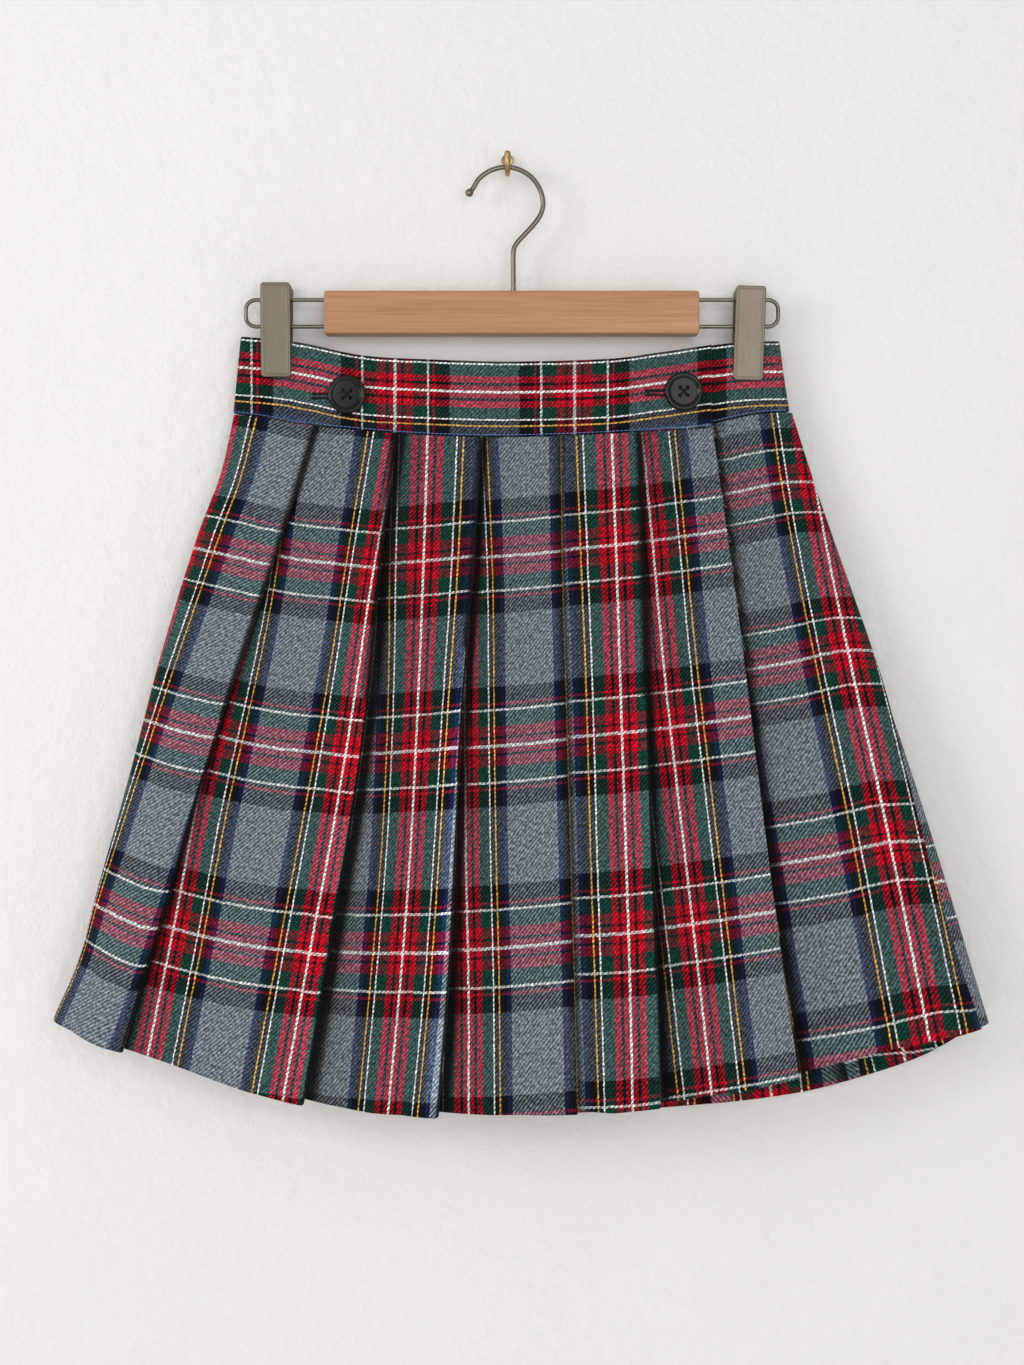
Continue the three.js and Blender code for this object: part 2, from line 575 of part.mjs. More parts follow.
function woodBar() {
  const { left, right, top, bottom, depth, edge } = BAR;
  const block = roundedPlate(left, right, bottom, top, edge + 0.6, depth, edge, 2).translate(0, WIRE_Y, 0);
  let body = solid(block);
  for (const z of [LOOP.upper, LOOP.lower]) {
    body = body.subtract(solid(rod(at(left - 1, z), at(left + LOOP.sunk + 0.3, z), LOOP.bore / 2)));
    body = body.subtract(solid(rod(at(right - LOOP.sunk - 0.3, z), at(right + 1, z), LOOP.bore / 2)));
  }
  const stem = [at(HOOK.stem, top + 1), at(HOOK.stem, top - HOOK.sunk - 0.3)];
  return fromSolid(body.subtract(solid(rod(...stem, HOOK.bore / 2))));
}
add('wood_bar', woodBar(), LOOKS.wood());

// A wire loop: out of one end of the bar, round two corners and back into it.
function wireLoop(barEnd, tip) {
  const side = Math.sign(tip - barEnd);
  const { upper, lower, corner, sunk } = LOOP;
  const outer = tip - side * LOOP.wire / 2;
  const bend = outer - side * corner;
  const path = new THREE.CurvePath();
  const arc = (z, from, to) => new THREE.QuadraticBezierCurve3(from, at(outer, z), to);
  path.add(new THREE.LineCurve3(at(barEnd - side * sunk, upper), at(bend, upper)));
  path.add(arc(upper, at(bend, upper), at(outer, upper - corner)));
  path.add(new THREE.LineCurve3(at(outer, upper - corner), at(outer, lower + corner)));
  path.add(arc(lower, at(outer, lower + corner), at(bend, lower)));
  path.add(new THREE.LineCurve3(at(bend, lower), at(barEnd - side * sunk, lower)));
  return wire(path, LOOP.wire, 40, 6);
}
add('wire_loop_left', wireLoop(BAR.left, LOOP.left), LOOKS.steel());
add('wire_loop_right', wireLoop(BAR.right, LOOP.right), LOOKS.steel());

// The hanger's hook: a stem out of the bar, a swan neck, most of a circle, a flare and a ball end.
function hangerHook() {
  const { wire: diameter, stem, sunk, x, z, radius, ball } = HOOK;
  const neck = [
    [stem, BAR.top - sunk], [stem, -74], [stem, -60], [4.4, -54.4],
    [9.4, -48.2], [15.4, -41.8], [19.6, -35.8],
  ];
  const circle = along(-3, 140, 13).map((degrees) => {
    const angle = THREE.MathUtils.degToRad(degrees);
    return [x + radius * Math.cos(angle), z + radius * Math.sin(angle)];
  });
  const flare = [[-20.6, -19.6], [-23.0, -22.6]];
  const points = [...neck, ...circle, ...flare].map(([px, pz]) => at(px, pz));
  const end = points[points.length - 1];
  const knob = new THREE.SphereGeometry(ball, 10, 6).translate(end.x - 0.9, end.y, end.z - 0.9);
  const curve = new THREE.CatmullRomCurve3(points, false, 'centripetal');
  return fromSolid(solid(wire(curve, diameter, 44)).add(solid(knob)));
}
add('hanger_hook', hangerHook(), LOOKS.steel());

// The wall hook: a flange on the wall, a short neck, and a trough that ends in an upright prong.
function wallHook() {
  const { wire: diameter, flange, thick, trough, bottom, tip } = WALL_HOOK;
  const centre = bottom + trough;
  const bowl = along(180, 360, 8).map((degrees) => {
    const angle = THREE.MathUtils.degToRad(degrees);
    return [WIRE_Y - trough * Math.cos(angle), centre + trough * Math.sin(angle)];
  }).reverse();
  const neck = [[-0.8, 0], [-3.2, -0.1], [-5.6, -1.7]];
  const back = bowl.slice().reverse();
  const way = [...neck, ...back, [WIRE_Y - trough, centre + 3], [WIRE_Y - trough, tip]];
  const curve = new THREE.CatmullRomCurve3(way.map(([y, z]) => at(0, z, y)), false, 'centripetal');
  const plate = rod(at(0, 0, -thick), at(0, 0, 0), flange, 20);
  return fromSolid(solid(wire(curve, diameter, 28)).add(solid(plate)));
}
add('wall_hook', wallHook(), LOOKS.brass());

// --------------------------------------------------------------------------------------------- clips
// Two plates that lean together at the jaws, and a spring between them that sits between the wires.
for (const { name, x, top, lean } of CLIPS) {
  const { width, height, plate, jaw, corner, spring, springLength } = CLIP;
  const clip = new THREE.Group();
  const pivot = (LOOP.upper + LOOP.lower) / 2;
  clip.position.set(x, WIRE_Y, pivot);
  clip.rotation.y = THREE.MathUtils.degToRad(lean);
  skirt.add(clip);
  const above = top - pivot;
  const below = above - height;
  const apart = spring + SEAM_GAP;
  const tilt = Math.atan2(apart - jaw, -below);
  const face = roundedPlate(-width / 2, width / 2, below, above, corner, plate, 0.5, 1);
  for (const [which, side] of [['front', -1], ['back', 1]]) {
    const leaf = add(`clip_${name}_${which}`, face.clone(), LOOKS.nickel(), clip);
    leaf.position.y = side * (apart / Math.cos(tilt) + plate / 2);
    leaf.rotation.x = -side * tilt;
  }
  const half = springLength / 2;
  const coil = rod(new THREE.Vector3(-half, 0, 0), new THREE.Vector3(half, 0, 0), spring, 16);
  add(`clip_${name}_spring`, coil, LOOKS.steel(), clip);
}

export default skirt;
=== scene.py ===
"""A pleated tartan wrap skirt, clipped to a wooden bar hanger that hangs on a brass wall hook.

Tables and sizes are in millimetres and meshes in metres. X is the viewer's right, Y points into the
wall and Z is up. The origin is the middle of the wall hook's flat back face.
"""

import math

import bmesh
import bpy
import numpy as np
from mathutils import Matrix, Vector


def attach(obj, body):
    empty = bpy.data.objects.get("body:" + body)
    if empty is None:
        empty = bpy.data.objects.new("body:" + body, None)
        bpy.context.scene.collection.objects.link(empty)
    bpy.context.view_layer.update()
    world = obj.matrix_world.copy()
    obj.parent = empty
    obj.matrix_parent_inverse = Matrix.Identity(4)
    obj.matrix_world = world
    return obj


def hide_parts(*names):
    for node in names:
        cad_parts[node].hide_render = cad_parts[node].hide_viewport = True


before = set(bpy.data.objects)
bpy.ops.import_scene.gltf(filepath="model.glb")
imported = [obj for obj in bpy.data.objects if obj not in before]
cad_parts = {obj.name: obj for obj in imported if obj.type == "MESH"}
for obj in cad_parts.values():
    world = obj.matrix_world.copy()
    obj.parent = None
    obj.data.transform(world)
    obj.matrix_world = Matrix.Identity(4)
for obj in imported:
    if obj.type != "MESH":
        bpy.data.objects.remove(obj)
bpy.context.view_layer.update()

# ------------------------------------------------------------------------------ wall, light and camera
# The skirt hangs on a pale plastered wall. A window's soft light comes from the left and the room's
# wider light from the front, and the camera looks straight at the wall. All of these are in metres.
ROOM = {"reach": 4.0, "floor": -1.0, "ceiling": 3.0, "wall": 0.0004}
CAMERA = {"x": 0.0027, "away": 1.3, "z": -0.316}


def paint(red, green, blue):
    """A display colour of 0 to 255 a channel, as the linear colour that a shader takes."""
    channels = np.array([red, green, blue]) / 255
    linear = np.where(channels > 0.04045, ((channels + 0.055) / 1.055) ** 2.4, channels / 12.92)
    return (*linear.tolist(), 1.0)


def put(tree, kind, inputs=None, **settings):
    """Adds one node with its settings. Each input is linked where it is given a socket, and set otherwise."""
    node = tree.nodes.new("ShaderNode" + kind)
    for name, value in settings.items():
        setattr(node, name, value)
    for name, value in (inputs or {}).items():
        if isinstance(value, bpy.types.NodeSocket):
            tree.links.new(value, node.inputs[name])
        else:
            node.inputs[name].default_value = value
    return node


def noise(tree, place, scale, **more):
    """A soft random pattern, with the noise node's other inputs by their names."""
    return put(tree, "TexNoise", {"Vector": place, "Scale": scale, **more}).outputs[0]


def spread(tree, value, low, high, to_low, to_high):
    """A value from low to high, stretched to run from to_low to to_high and held there beyond them."""
    return put(tree, "MapRange", {0: value, 1: low, 2: high, 3: to_low, 4: to_high}).outputs[0]


def mixed(tree, share, first, second, way="MIX"):
    """Two colours mixed, the first where share is 0 and the second where it is 1."""
    return put(tree, "Mix", {0: share, 6: first, 7: second}, data_type="RGBA", blend_type=way).outputs[2]


def finish_of(name, inputs=None):
    """A new material whose one shader has the given inputs; returns it, its node tree and its shader."""
    material = bpy.data.materials.new(name)
    material.use_nodes = True
    tree = material.node_tree
    tree.nodes.clear()
    shader = put(tree, "BsdfPrincipled", inputs)
    put(tree, "OutputMaterial", {"Surface": shader.outputs[0]})
    return material, tree, shader


def emboss(tree, shader, height, strength, distance):
    """Gives a shader the relief of a height, whose full step is a distance in metres."""
    relief = put(tree, "Bump", {"Strength": strength, "Distance": distance, "Height": height})
    tree.links.new(relief.outputs[0], shader.inputs["Normal"])


def add(name, data):
    """A new object in the scene, with this mesh, light or lens."""
    thing = bpy.data.objects.new(name, data)
    bpy.context.scene.collection.objects.link(thing)
    return thing


def plain_panel(name, corners):
    """A flat panel through four corners, in metres."""
    mesh = bpy.data.meshes.new(name)
    mesh.from_pydata(corners, [], [range(4)])
    return add(name, mesh)


plaster, tree, shader = finish_of("plaster", {"Roughness": 0.92, "Specular IOR Level": 0.2})
place = put(tree, "TexCoord").outputs["Object"]
lumps = noise(tree, place, 95.0, Detail=5.0, Roughness=0.62)
trowel = noise(tree, place, 14.0, Detail=3.0, Roughness=0.5)
emboss(tree, shader, put(tree, "Math", {0: lumps, 1: trowel}, operation="ADD").outputs[0], 0.48, 0.004)
tint = mixed(tree, trowel, paint(236, 234, 230), paint(240, 238, 235))
tree.links.new(tint, shader.inputs["Base Color"])
# From behind, the wall lets the view through.
behind = put(tree, "NewGeometry").outputs["Backfacing"]
clear = put(tree, "BsdfTransparent")
either = put(tree, "MixShader", {0: behind, 1: shader.outputs[0], 2: clear.outputs[0]})
tree.links.new(either.outputs[0], tree.nodes["Material Output"].inputs["Surface"])

reach, ground = ROOM["reach"], ROOM["floor"]
upright = [(-reach, ground), (reach, ground), (reach, ROOM["ceiling"]), (-reach, ROOM["ceiling"])]
level = [(-reach, -reach), (reach, -reach), (reach, reach), (-reach, reach)]
wall = plain_panel("wall", [(x, ROOM["wall"], z) for x, z in upright])
floor = plain_panel("floor", [(x, y, ground) for x, y in level])
wall.data.materials.append(plaster)
floor.data.materials.append(plaster)


def soft_light(name, place, aim, size, power, tone):
    """A square area light, in metres, that faces a point."""
    lamp = bpy.data.lights.new(name, "AREA")
    lamp.size = size
    lamp.energy = power
    lamp.color = tone
    light = add(name, lamp)
    light.location = place
    light.rotation_euler = (light.location - Vector(aim)).to_track_quat("Z", "Y").to_euler()


soft_light("window", (-1.85, -1.25, 0.2), (0.0, 0.0, -0.32), 0.85, 16.0, (1.0, 0.99, 0.97))
soft_light("room", (0.5, -2.65, -0.35), (0.0, 0.0, -0.4), 2.4, 37.0, (0.98, 0.99, 1.0))
sky = bpy.data.worlds.new("sky")
sky.use_nodes = True
tree = sky.node_tree
background = tree.nodes["Background"]
upward = put(tree, "SeparateXYZ", {0: put(tree, "TexCoord").outputs["Generated"]}).outputs[2]
background.inputs["Color"].default_value = paint(246, 247, 248)
tree.links.new(spread(tree, upward, -1.0, 1.0, 0.26, 0.58), background.inputs["Strength"])
bpy.context.scene.world = sky
bpy.context.scene.view_settings.view_transform = "Standard"

lens = bpy.data.cameras.new("camera")
lens.sensor_width = 36.0
lens.lens = 56.615
camera = add("camera", lens)
camera.location = (CAMERA["x"], -CAMERA["away"], CAMERA["z"])
camera.rotation_euler = (math.radians(90), 0, 0)
bpy.context.scene.camera = camera

# ------------------------------------------------------------------------- wall hook and hanger wires
# The wall hook is a brass wire on a small round flange. The hanger's hook and its two side loops are
# bent from drawn steel wire; the hook ends in a ball and the loops are pressed into the bar's ends.
WIRE_Y = -12.7
BOWL = {"radius": 6.0, "z": -4.7, "wire": 1.75, "ball": 2.0}
CROOK = {"x": -0.9, "z": -29.2, "radius": 22.2, "wire": 1.5, "ball": 2.5}
LOOP = {"top": -86.6, "bottom": -102.6, "bend": 6.0, "wire": 1.2, "in_bar": 12.0}


def cells(index):
    """The four corners of every cell of a grid of point numbers, which fills its last two axes."""
    corners = [index[..., :-1, :-1], index[..., 1:, :-1], index[..., 1:, 1:], index[..., :-1, 1:]]
    return np.stack(corners, axis=-1).reshape(-1, 4).tolist()


def weld(mesh, turn_out):
    """Merges points that fall together, shades the mesh smooth and, where turn_out asks, turns the faces
    of a closed body outward."""
    shape = bmesh.new()
    shape.from_mesh(mesh)
    bmesh.ops.remove_doubles(shape, verts=shape.verts, dist=1e-6)
    bmesh.ops.dissolve_degenerate(shape, edges=shape.edges, dist=1e-7)
    if turn_out:
        bmesh.ops.recalc_face_normals(shape, faces=shape.faces)
    shape.to_mesh(mesh)
    shape.free()
    mesh.shade_smooth()


def surface(name, points, around=False, uv=None, sharp=None, shade=None, turn_out=False):
    """A mesh from a grid of points in millimetres: rows, columns, then x, y and z. Every cell is a quad.

    around joins the last column to the first. Points that fall together, as at a pole or a closed rim,
    are merged. uv has a pair for each point, shade a number for each, edges sharper than `sharp` degrees
    stay crisp, and turn_out has the faces of a closed body turned outward.
    """
    rows, columns = points.shape[:2]
    index = np.arange(rows * columns).reshape(rows, columns)
    if around:
        index = np.concatenate([index, index[:, :1]], axis=1)
    quads = cells(index)
    mesh = bpy.data.meshes.new(name)
    mesh.from_pydata((points.reshape(-1, 3) / 1000).tolist(), [], quads)
    if uv is not None:
        chart = mesh.uv_layers.new(name="chart")
        chart.data.foreach_set("uv", uv.reshape(-1, 2)[np.ravel(quads)].ravel())
    if shade is not None:
        mesh.attributes.new("painted_fold_shading", "FLOAT", "POINT").data.foreach_set("value", shade.ravel())
    weld(mesh, turn_out)
    if sharp is not None:
        mesh.set_sharp_from_angle(angle=math.radians(sharp))
    return add(name, mesh)


def dress(piece, material, replaces=()):
    """Gives a piece its material, has it ride on the one body, and hides the nodes it stands for."""
    piece.data.materials.append(material)
    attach(piece, "root")
    if replaces:
        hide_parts(*replaces)
    return piece


def follow(at, values, places):
    """A smooth curve through values that stand at `at`, read at places.

    On each span it is the cubic whose end slopes are those of the chords over the neighbouring spans.
    """
    at, values, places = (np.asarray(a, float) for a in (at, values, places))
    last = len(at) - 1
    below = np.maximum(np.arange(last + 1) - 1, 0)
    above = np.minimum(np.arange(last + 1) + 1, last)
    slope = (values[above] - values[below]) / (at[above] - at[below])
    i = np.clip(np.searchsorted(at, places) - 1, 0, last - 1)
    span = at[i + 1] - at[i]
    t = np.clip((places - at[i]) / span, 0, 1)
    start = values[i] * (2 * t**3 - 3 * t**2 + 1) + slope[i] * span * (t**3 - 2 * t**2 + t)
    end = values[i + 1] * (3 * t**2 - 2 * t**3) + slope[i + 1] * span * (t**3 - t**2)
    return start + end


def unit(vectors):
    """Vectors brought to length 1."""
    return vectors / np.linalg.norm(vectors, axis=-1, keepdims=True)


def lengths_along(points, axis=0):
    """The length of the way from the first point to each, along one axis of an array of points."""
    steps = np.linalg.norm(np.diff(points, axis=axis), axis=-1)
    return np.insert(np.cumsum(steps, axis=axis), 0, 0, axis=axis)


def bent_wire(way, steps):
    """Evenly many points on a smooth curve through the corners of a way, by the length along its chords."""
    way = np.array(way, float)
    lengths = lengths_along(way)
    places = np.linspace(0, lengths[-1], steps)
    return np.stack([follow(lengths, way[:, k], places) for k in range(way.shape[1])], axis=1)


def round_wire(name, path, radii, normal, sides):
    """A tube round a path: each ring is radius x (cos a x side + sin a x normal), where the normal, one for
    all or one for each point, and the side stand square to the path."""
    normal = np.broadcast_to(np.array(normal, float), path.shape)
    side = np.cross(unit(np.gradient(path, axis=0)), normal)
    angle = np.linspace(0, 2 * np.pi, sides, endpoint=False)[None, :, None]
    ring = np.cos(angle) * side[:, None] + np.sin(angle) * normal[:, None]
    points = path[:, None] + np.broadcast_to(radii, len(path))[:, None, None] * ring
    return surface(name, points, around=True, turn_out=True)


def ball_end(path, wire, ball):
    """Radii along a path for a wire that ends in a ball: the ball's own arc over its last two radii."""
    lengths = lengths_along(path)
    left = lengths[-1] - lengths
    arc = np.sqrt(np.clip(ball**2 - (left - ball) ** 2, 0, None))
    start = np.sqrt(np.clip(wire**2 - np.clip(wire - lengths, 0, None) ** 2, 0, None))
    return np.where(left < ball, arc, np.maximum(np.where(left < 2 * ball, arc, 0), start))


def drawn_metal(name, colour, roughness, streak):
    """Drawn or stamped metal: fine streaks along the work and a slow mottle, in roughness and tone."""
    material, tree, shader = finish_of(name, {"Metallic": 1.0, "Specular IOR Level": 0.5})
    place = put(tree, "TexCoord").outputs["Object"]
    stretched = put(tree, "Mapping", {"Vector": place, "Scale": streak}).outputs[0]
    fine = noise(tree, stretched, 900.0, Detail=3.0)
    slow = noise(tree, place, 60.0, Detail=2.0)
    worn = put(tree, "Math", {0: fine, 1: slow}, operation="MULTIPLY").outputs[0]
    rough = spread(tree, worn, 0.1, 0.5, roughness - 0.07, roughness + 0.1)
    darker = tuple(0.8 * c for c in colour[:3]) + (1.0,)
    tree.links.new(mixed(tree, slow, darker, colour), shader.inputs["Base Color"])
    tree.links.new(rough, shader.inputs["Roughness"])
    emboss(tree, shader, fine, 0.12, 0.0002)
    return material


brass = drawn_metal("brass", paint(176, 146, 104), 0.3, (1, 1, 1))
steel = drawn_metal("steel", paint(126, 118, 107), 0.3, (1, 1, 1))

hook_neck = [(-0.8, 0), (-3.2, -0.1), (-5.6, -1.7)]
bowl_angle = np.radians(np.linspace(0, 180, 9))
bowl_y = WIRE_Y + BOWL["radius"] * np.cos(bowl_angle)
bowl_z = BOWL["z"] - BOWL["radius"] * np.sin(bowl_angle)
tip_y = WIRE_Y - BOWL["radius"]
hook_way = [*hook_neck, *np.stack([bowl_y, bowl_z], axis=1).tolist(), (tip_y, -1.7), (tip_y, 1.6)]
hook_path = bent_wire([(0, y, z) for y, z in hook_way], 90)
hook_radii = ball_end(hook_path, BOWL["wire"], BOWL["ball"])
wall_hook = round_wire("wall_hook_wire", hook_path, hook_radii, (1, 0, 0), 20)
dress(wall_hook, brass, ["wall_hook"])

# The flange is a turned profile: a radius and a depth for each corner.
flange_radius = np.array([0.0, 3.6, 3.6, 3.3, 2.4, 0.0])[:, None]
flange_depth = np.array([0.0, 0.0, -0.9, -1.3, -1.5, -1.5])[:, None]
turn = np.linspace(0, 2 * np.pi, 32, endpoint=False)
flange_points = np.stack([
    flange_radius * np.sin(turn), flange_depth + 0 * turn, flange_radius * np.cos(turn),
], axis=-1)
flange = surface("wall_hook_flange", flange_points, around=True, sharp=40)
dress(flange, brass)

crook_angle = np.radians(np.linspace(-3, 140, 14))
crook_x = CROOK["x"] + CROOK["radius"] * np.cos(crook_angle)
crook_z = CROOK["z"] + CROOK["radius"] * np.sin(crook_angle)
swan = [(3.5, -92.2), (3.5, -74), (3.5, -60), (4.4, -54.4), (9.4, -48.2), (15.4, -41.8), (19.6, -35.8)]
hanger_way = [*swan, *np.stack([crook_x, crook_z], axis=1).tolist(), (-20.6, -19.6), (-24.6, -24.2)]
hanger_path = bent_wire([(x, WIRE_Y, z) for x, z in hanger_way], 220)
hanger_radii = ball_end(hanger_path, CROOK["wire"], CROOK["ball"])
hanger_hook = round_wire("hanger_hook_wire", hanger_path, hanger_radii, (0, 1, 0), 20)
dress(hanger_hook, steel, ["hanger_hook"])


def side_loop(name, bar_end, tip):
    """A wire loop: out of the bar's end, round two quarter turns, and back into the bar."""
    side = math.copysign(1, tip - bar_end)
    outer = tip - side * LOOP["wire"]
    bend = LOOP["bend"]
    turn = np.linspace(0, np.pi / 2, 12)
    inward, onward = bend * (1 - np.sin(turn)), bend * (1 - np.cos(turn))
    upper = np.stack([outer - side * inward, LOOP["top"] - onward], axis=1)
    lower = np.stack([outer - side * onward, LOOP["bottom"] + inward], axis=1)
    reach = np.linspace(bar_end - side * LOOP["in_bar"], outer - side * bend, 24)[:-1]
    out = np.stack([reach, np.full_like(reach, LOOP["top"])], axis=1)
    back = np.stack([reach[::-1], np.full_like(reach, LOOP["bottom"])], axis=1)
    flat = np.concatenate([out, upper, lower, back])
    path = np.insert(flat, 1, WIRE_Y, axis=1)
    radii = np.full(len(path), LOOP["wire"])
    radii[[0, -1]] = 0
    loop = round_wire(name + "_wire", path, radii, (0, 1, 0), 14)
    dress(loop, steel, [name])


side_loop("wire_loop_left", -109.5, -158.1)
side_loop("wire_loop_right", 114.5, 163.5)

# ------------------------------------------------------------------------------------------ wood bar
# The bar is one piece of oiled beech with softly broken edges and its grain along its length.
BAR = {"left": -109.5, "right": 114.5, "top": -82.2, "bottom": -107.6, "depth": 14.0}


def rounded_outline(width, height, corner, sides=8):
    """The outline of a rectangle with round corners, anticlockwise seen from the front."""
    angle = np.radians(np.linspace(0, 90, sides + 1))[None] + np.radians([0, 90, 180, 270])[:, None]
    centre = np.array([(1, 1), (-1, 1), (-1, -1), (1, -1)]) * (np.array([width, height]) / 2 - corner)
    ray = np.stack([np.cos(angle), np.sin(angle)], axis=-1)
    return (centre[:, None] + corner * ray).reshape(-1, 2)


def pressed_rings(width, height, corner, profile):
    """Rings of a block with a rounded outline whose face looks along -Y. Each row of profile is an inset
    from the outline and a depth; an inset past half the width closes the ring to a line."""
    rings = []
    for inset, depth in profile:
        inset = min(inset, min(width, height) / 2)
        outline = rounded_outline(width - 2 * inset, height - 2 * inset, max(corner - inset, 0))
        rings.append(np.insert(outline, 1, depth, axis=1))
    return np.array(rings)


def arc_profile(edge, depth, inward):
    """Insets and depths round a block's edges: a flat face, a quarter arc, a straight side and the same
    behind."""
    turn = np.linspace(0, np.pi / 2, 6)
    front = np.stack([edge * (1 - np.sin(turn)), edge * (1 - np.cos(turn))], axis=1)
    face = [(inward, 0.0), (edge + 2.0, 0.0)]
    back = np.stack([front[::-1, 0], depth - front[::-1, 1]], axis=1)
    return [*face, *front.tolist(), *back.tolist(), (edge + 2.0, depth), (inward, depth)]


beech, tree, shader = finish_of("beech", {"Roughness": 0.5, "Specular IOR Level": 0.4, "Coat Weight": 0.08})
place = put(tree, "TexCoord").outputs["Object"]
ring_lay = put(tree, "Mapping", {"Vector": place, "Scale": (0.03, 0.6, 1.0), "Rotation": (0, 0.01, 0)})
rings = noise(tree, ring_lay.outputs[0], 150.0, Detail=6.0, Roughness=0.6, Distortion=0.5)
fibre_lay = put(tree, "Mapping", {"Vector": place, "Scale": (0.03, 1.0, 1.0)}).outputs[0]
fibre = noise(tree, fibre_lay, 800.0, Detail=3.0, Roughness=0.7)
fleck_lay = put(tree, "Mapping", {"Vector": place, "Scale": (0.11, 0.9, 1.0)}).outputs[0]
flecks = spread(tree, noise(tree, fleck_lay, 620.0, Detail=1.0), 0.68, 0.8, 0.0, 0.45)
tone = put(tree, "ValToRGB", {0: rings})
for end, (position, colour) in enumerate([(0.3, paint(180, 128, 88)), (0.68, paint(216, 166, 124))]):
    tone.color_ramp.elements[end].position = position
    tone.color_ramp.elements[end].color = colour
combed = mixed(tree, fibre, tone.outputs[0], paint(152, 100, 64))
tree.links.new(mixed(tree, flecks, combed, paint(150, 96, 62)), shader.inputs["Base Color"])
emboss(tree, shader, fibre, 0.18, 0.0003)

bar_width, bar_height = BAR["right"] - BAR["left"], BAR["top"] - BAR["bottom"]
bar_centre = ((BAR["left"] + BAR["right"]) / 2, WIRE_Y - BAR["depth"] / 2, (BAR["top"] + BAR["bottom"]) / 2)
bar_rings = pressed_rings(bar_width, bar_height, 1.8, arc_profile(0.8, BAR["depth"], bar_height))
bar = surface("bar", bar_rings + np.array(bar_centre), around=True, sharp=50, turn_out=True)
dress(bar, beech, ["wood_bar"])

# -------------------------------------------------------------------------------------- front of skirt
# The front wrap is cut from one length of tartan and pressed into five knife pleats that point to the
# wearer's left, with its free edge on the right. It is sewn to the waistband and hemmed by hand.
# From above the skirt is a flattened ring. Each row: place from seam to hem, the ring's left and right
# ends, its middle depth, half depth at the ends, length over which the ends round off, belly in front,
# belly behind, and the share of the half width that bellies.
SKIRT_RING = np.array([
    (0.0, -163.5, 168.2, -12.7, 2.2, 2.4, 8.5, 2.2, 0.86),
    (0.1, -171.6, 179.6, -13.8, 3.8, 9, 9.3, 2.2, 0.9),
    (0.2, -184.8, 191.6, -15.5, 6, 14, 9, 2, 0.95),
    (0.4, -206.4, 216.8, -19, 9.5, 22, 8.5, 1.5, 1),
    (0.6, -224.6, 240.8, -22.5, 13, 30, 8, 1.5, 1),
    (0.8, -244.4, 263.2, -25, 16, 36, 7.5, 1, 1),
    (0.9, -253.6, 273.9, -26, 17, 38, 7.2, 1, 1),
    (1.0, -268.8, 284.8, -27, 18, 40, 7, 1, 1),
])
# Heights of the waist seam and the hem, from -1 at the ring's left end to 1 at its right.
SEAM = np.array([
    (-1.0, -154.8), (-0.9, -156.9), (-0.75, -161.3), (-0.5, -165.9), (-0.25, -169.1), (0.0, -169.9),
    (0.25, -168.5), (0.5, -165.8), (0.75, -162.6), (1.0, -158.0),
])
HEM = np.array([
    (-1.0, -516.1), (-0.9, -525.1), (-0.75, -536.4), (-0.5, -555.8), (-0.25, -563.8), (0.0, -565.4),
    (0.25, -561.1), (0.5, -549.6), (0.75, -532.6), (0.9, -523.9), (1.0, -517.5),
])
# The front pleats from the left, at the seam and on the way down: place, the fold's x, the hidden
# cloth's depth under it, how far the fold stands out, and how far it gapes.
FRONT_PLEATS = np.array([
    [(0.0, -114.0, 33, 3.2, 1.5), (0.2, -136.3, 27, 3.6, 1.6), (0.4, -160.0, 19, 4.4, 1.9),
     (0.6, -182.4, 13, 5.2, 2.2), (0.8, -202.4, 8, 5.8, 2.6), (1.0, -224.1, 5, 6.4, 3.0)],
    [(0.0, -65.8, 34, 3.2, 1.5), (0.2, -74.6, 29, 4.0, 1.7), (0.4, -81.6, 24, 5.4, 2.0),
     (0.6, -91.8, 18, 7.0, 2.6), (0.8, -105.0, 13, 8.0, 3.4), (1.0, -117.9, 10, 9.0, 4.4)],
    [(0.0, -15.8, 34, 3.2, 1.5), (0.2, -20.1, 32, 4.2, 1.7), (0.4, -26.2, 30, 5.6, 2.4),
     (0.6, -30.0, 26, 7.2, 4.0), (0.8, -33.8, 22, 8.2, 5.2), (1.0, -40.0, 18, 9.0, 5.8)],
    [(0.0, 31.3, 34, 3.2, 1.5), (0.2, 32.1, 34, 3.4, 1.5), (0.4, 34.3, 34, 3.8, 1.6),
     (0.6, 36.4, 34, 4.2, 1.7), (0.8, 38.5, 34, 4.8, 1.9), (1.0, 40.4, 34, 5.4, 2.2)],
    [(0.0, 77.7, 33, 3.2, 1.5), (0.2, 79.9, 32, 3.8, 1.7), (0.4, 81.4, 31, 4.8, 2.0),
     (0.6, 83.7, 28, 6.0, 2.6), (0.8, 86.4, 24, 7.2, 3.2), (1.0, 88.5, 21, 8.0, 3.8)],
])
# The wrap, down the skirt: place, its free edge's x, how far that stands off, the x where its hidden
# inner end starts, and how far short of the ring's right end that inner end stops.
WRAP = np.array([
    (0.0, 122.4, 0.0, -104, 0), (0.2, 131.9, 1.2, -108, 0), (0.4, 140.9, 2.4, -112, 1),
    (0.6, 149.3, 3.4, -116, 9), (0.8, 158.6, 4.2, -120, 14), (1.0, 169.2, 5.0, -124, 13),
])
# The cloth's thickness, the height of the small turn inside a fold, the rounded rim of the cloth's edges,
# the gap to the band at the seam, and the gap to the side seam at the left.
CLOTH = 1.0
PITCH = 1.5
RIM = 0.5
SEAM_GAP = 0.7
SIDE_GAP = 0.3
# How far the front stands off where it lies over its own inner end.
OVER_INNER = 1.7
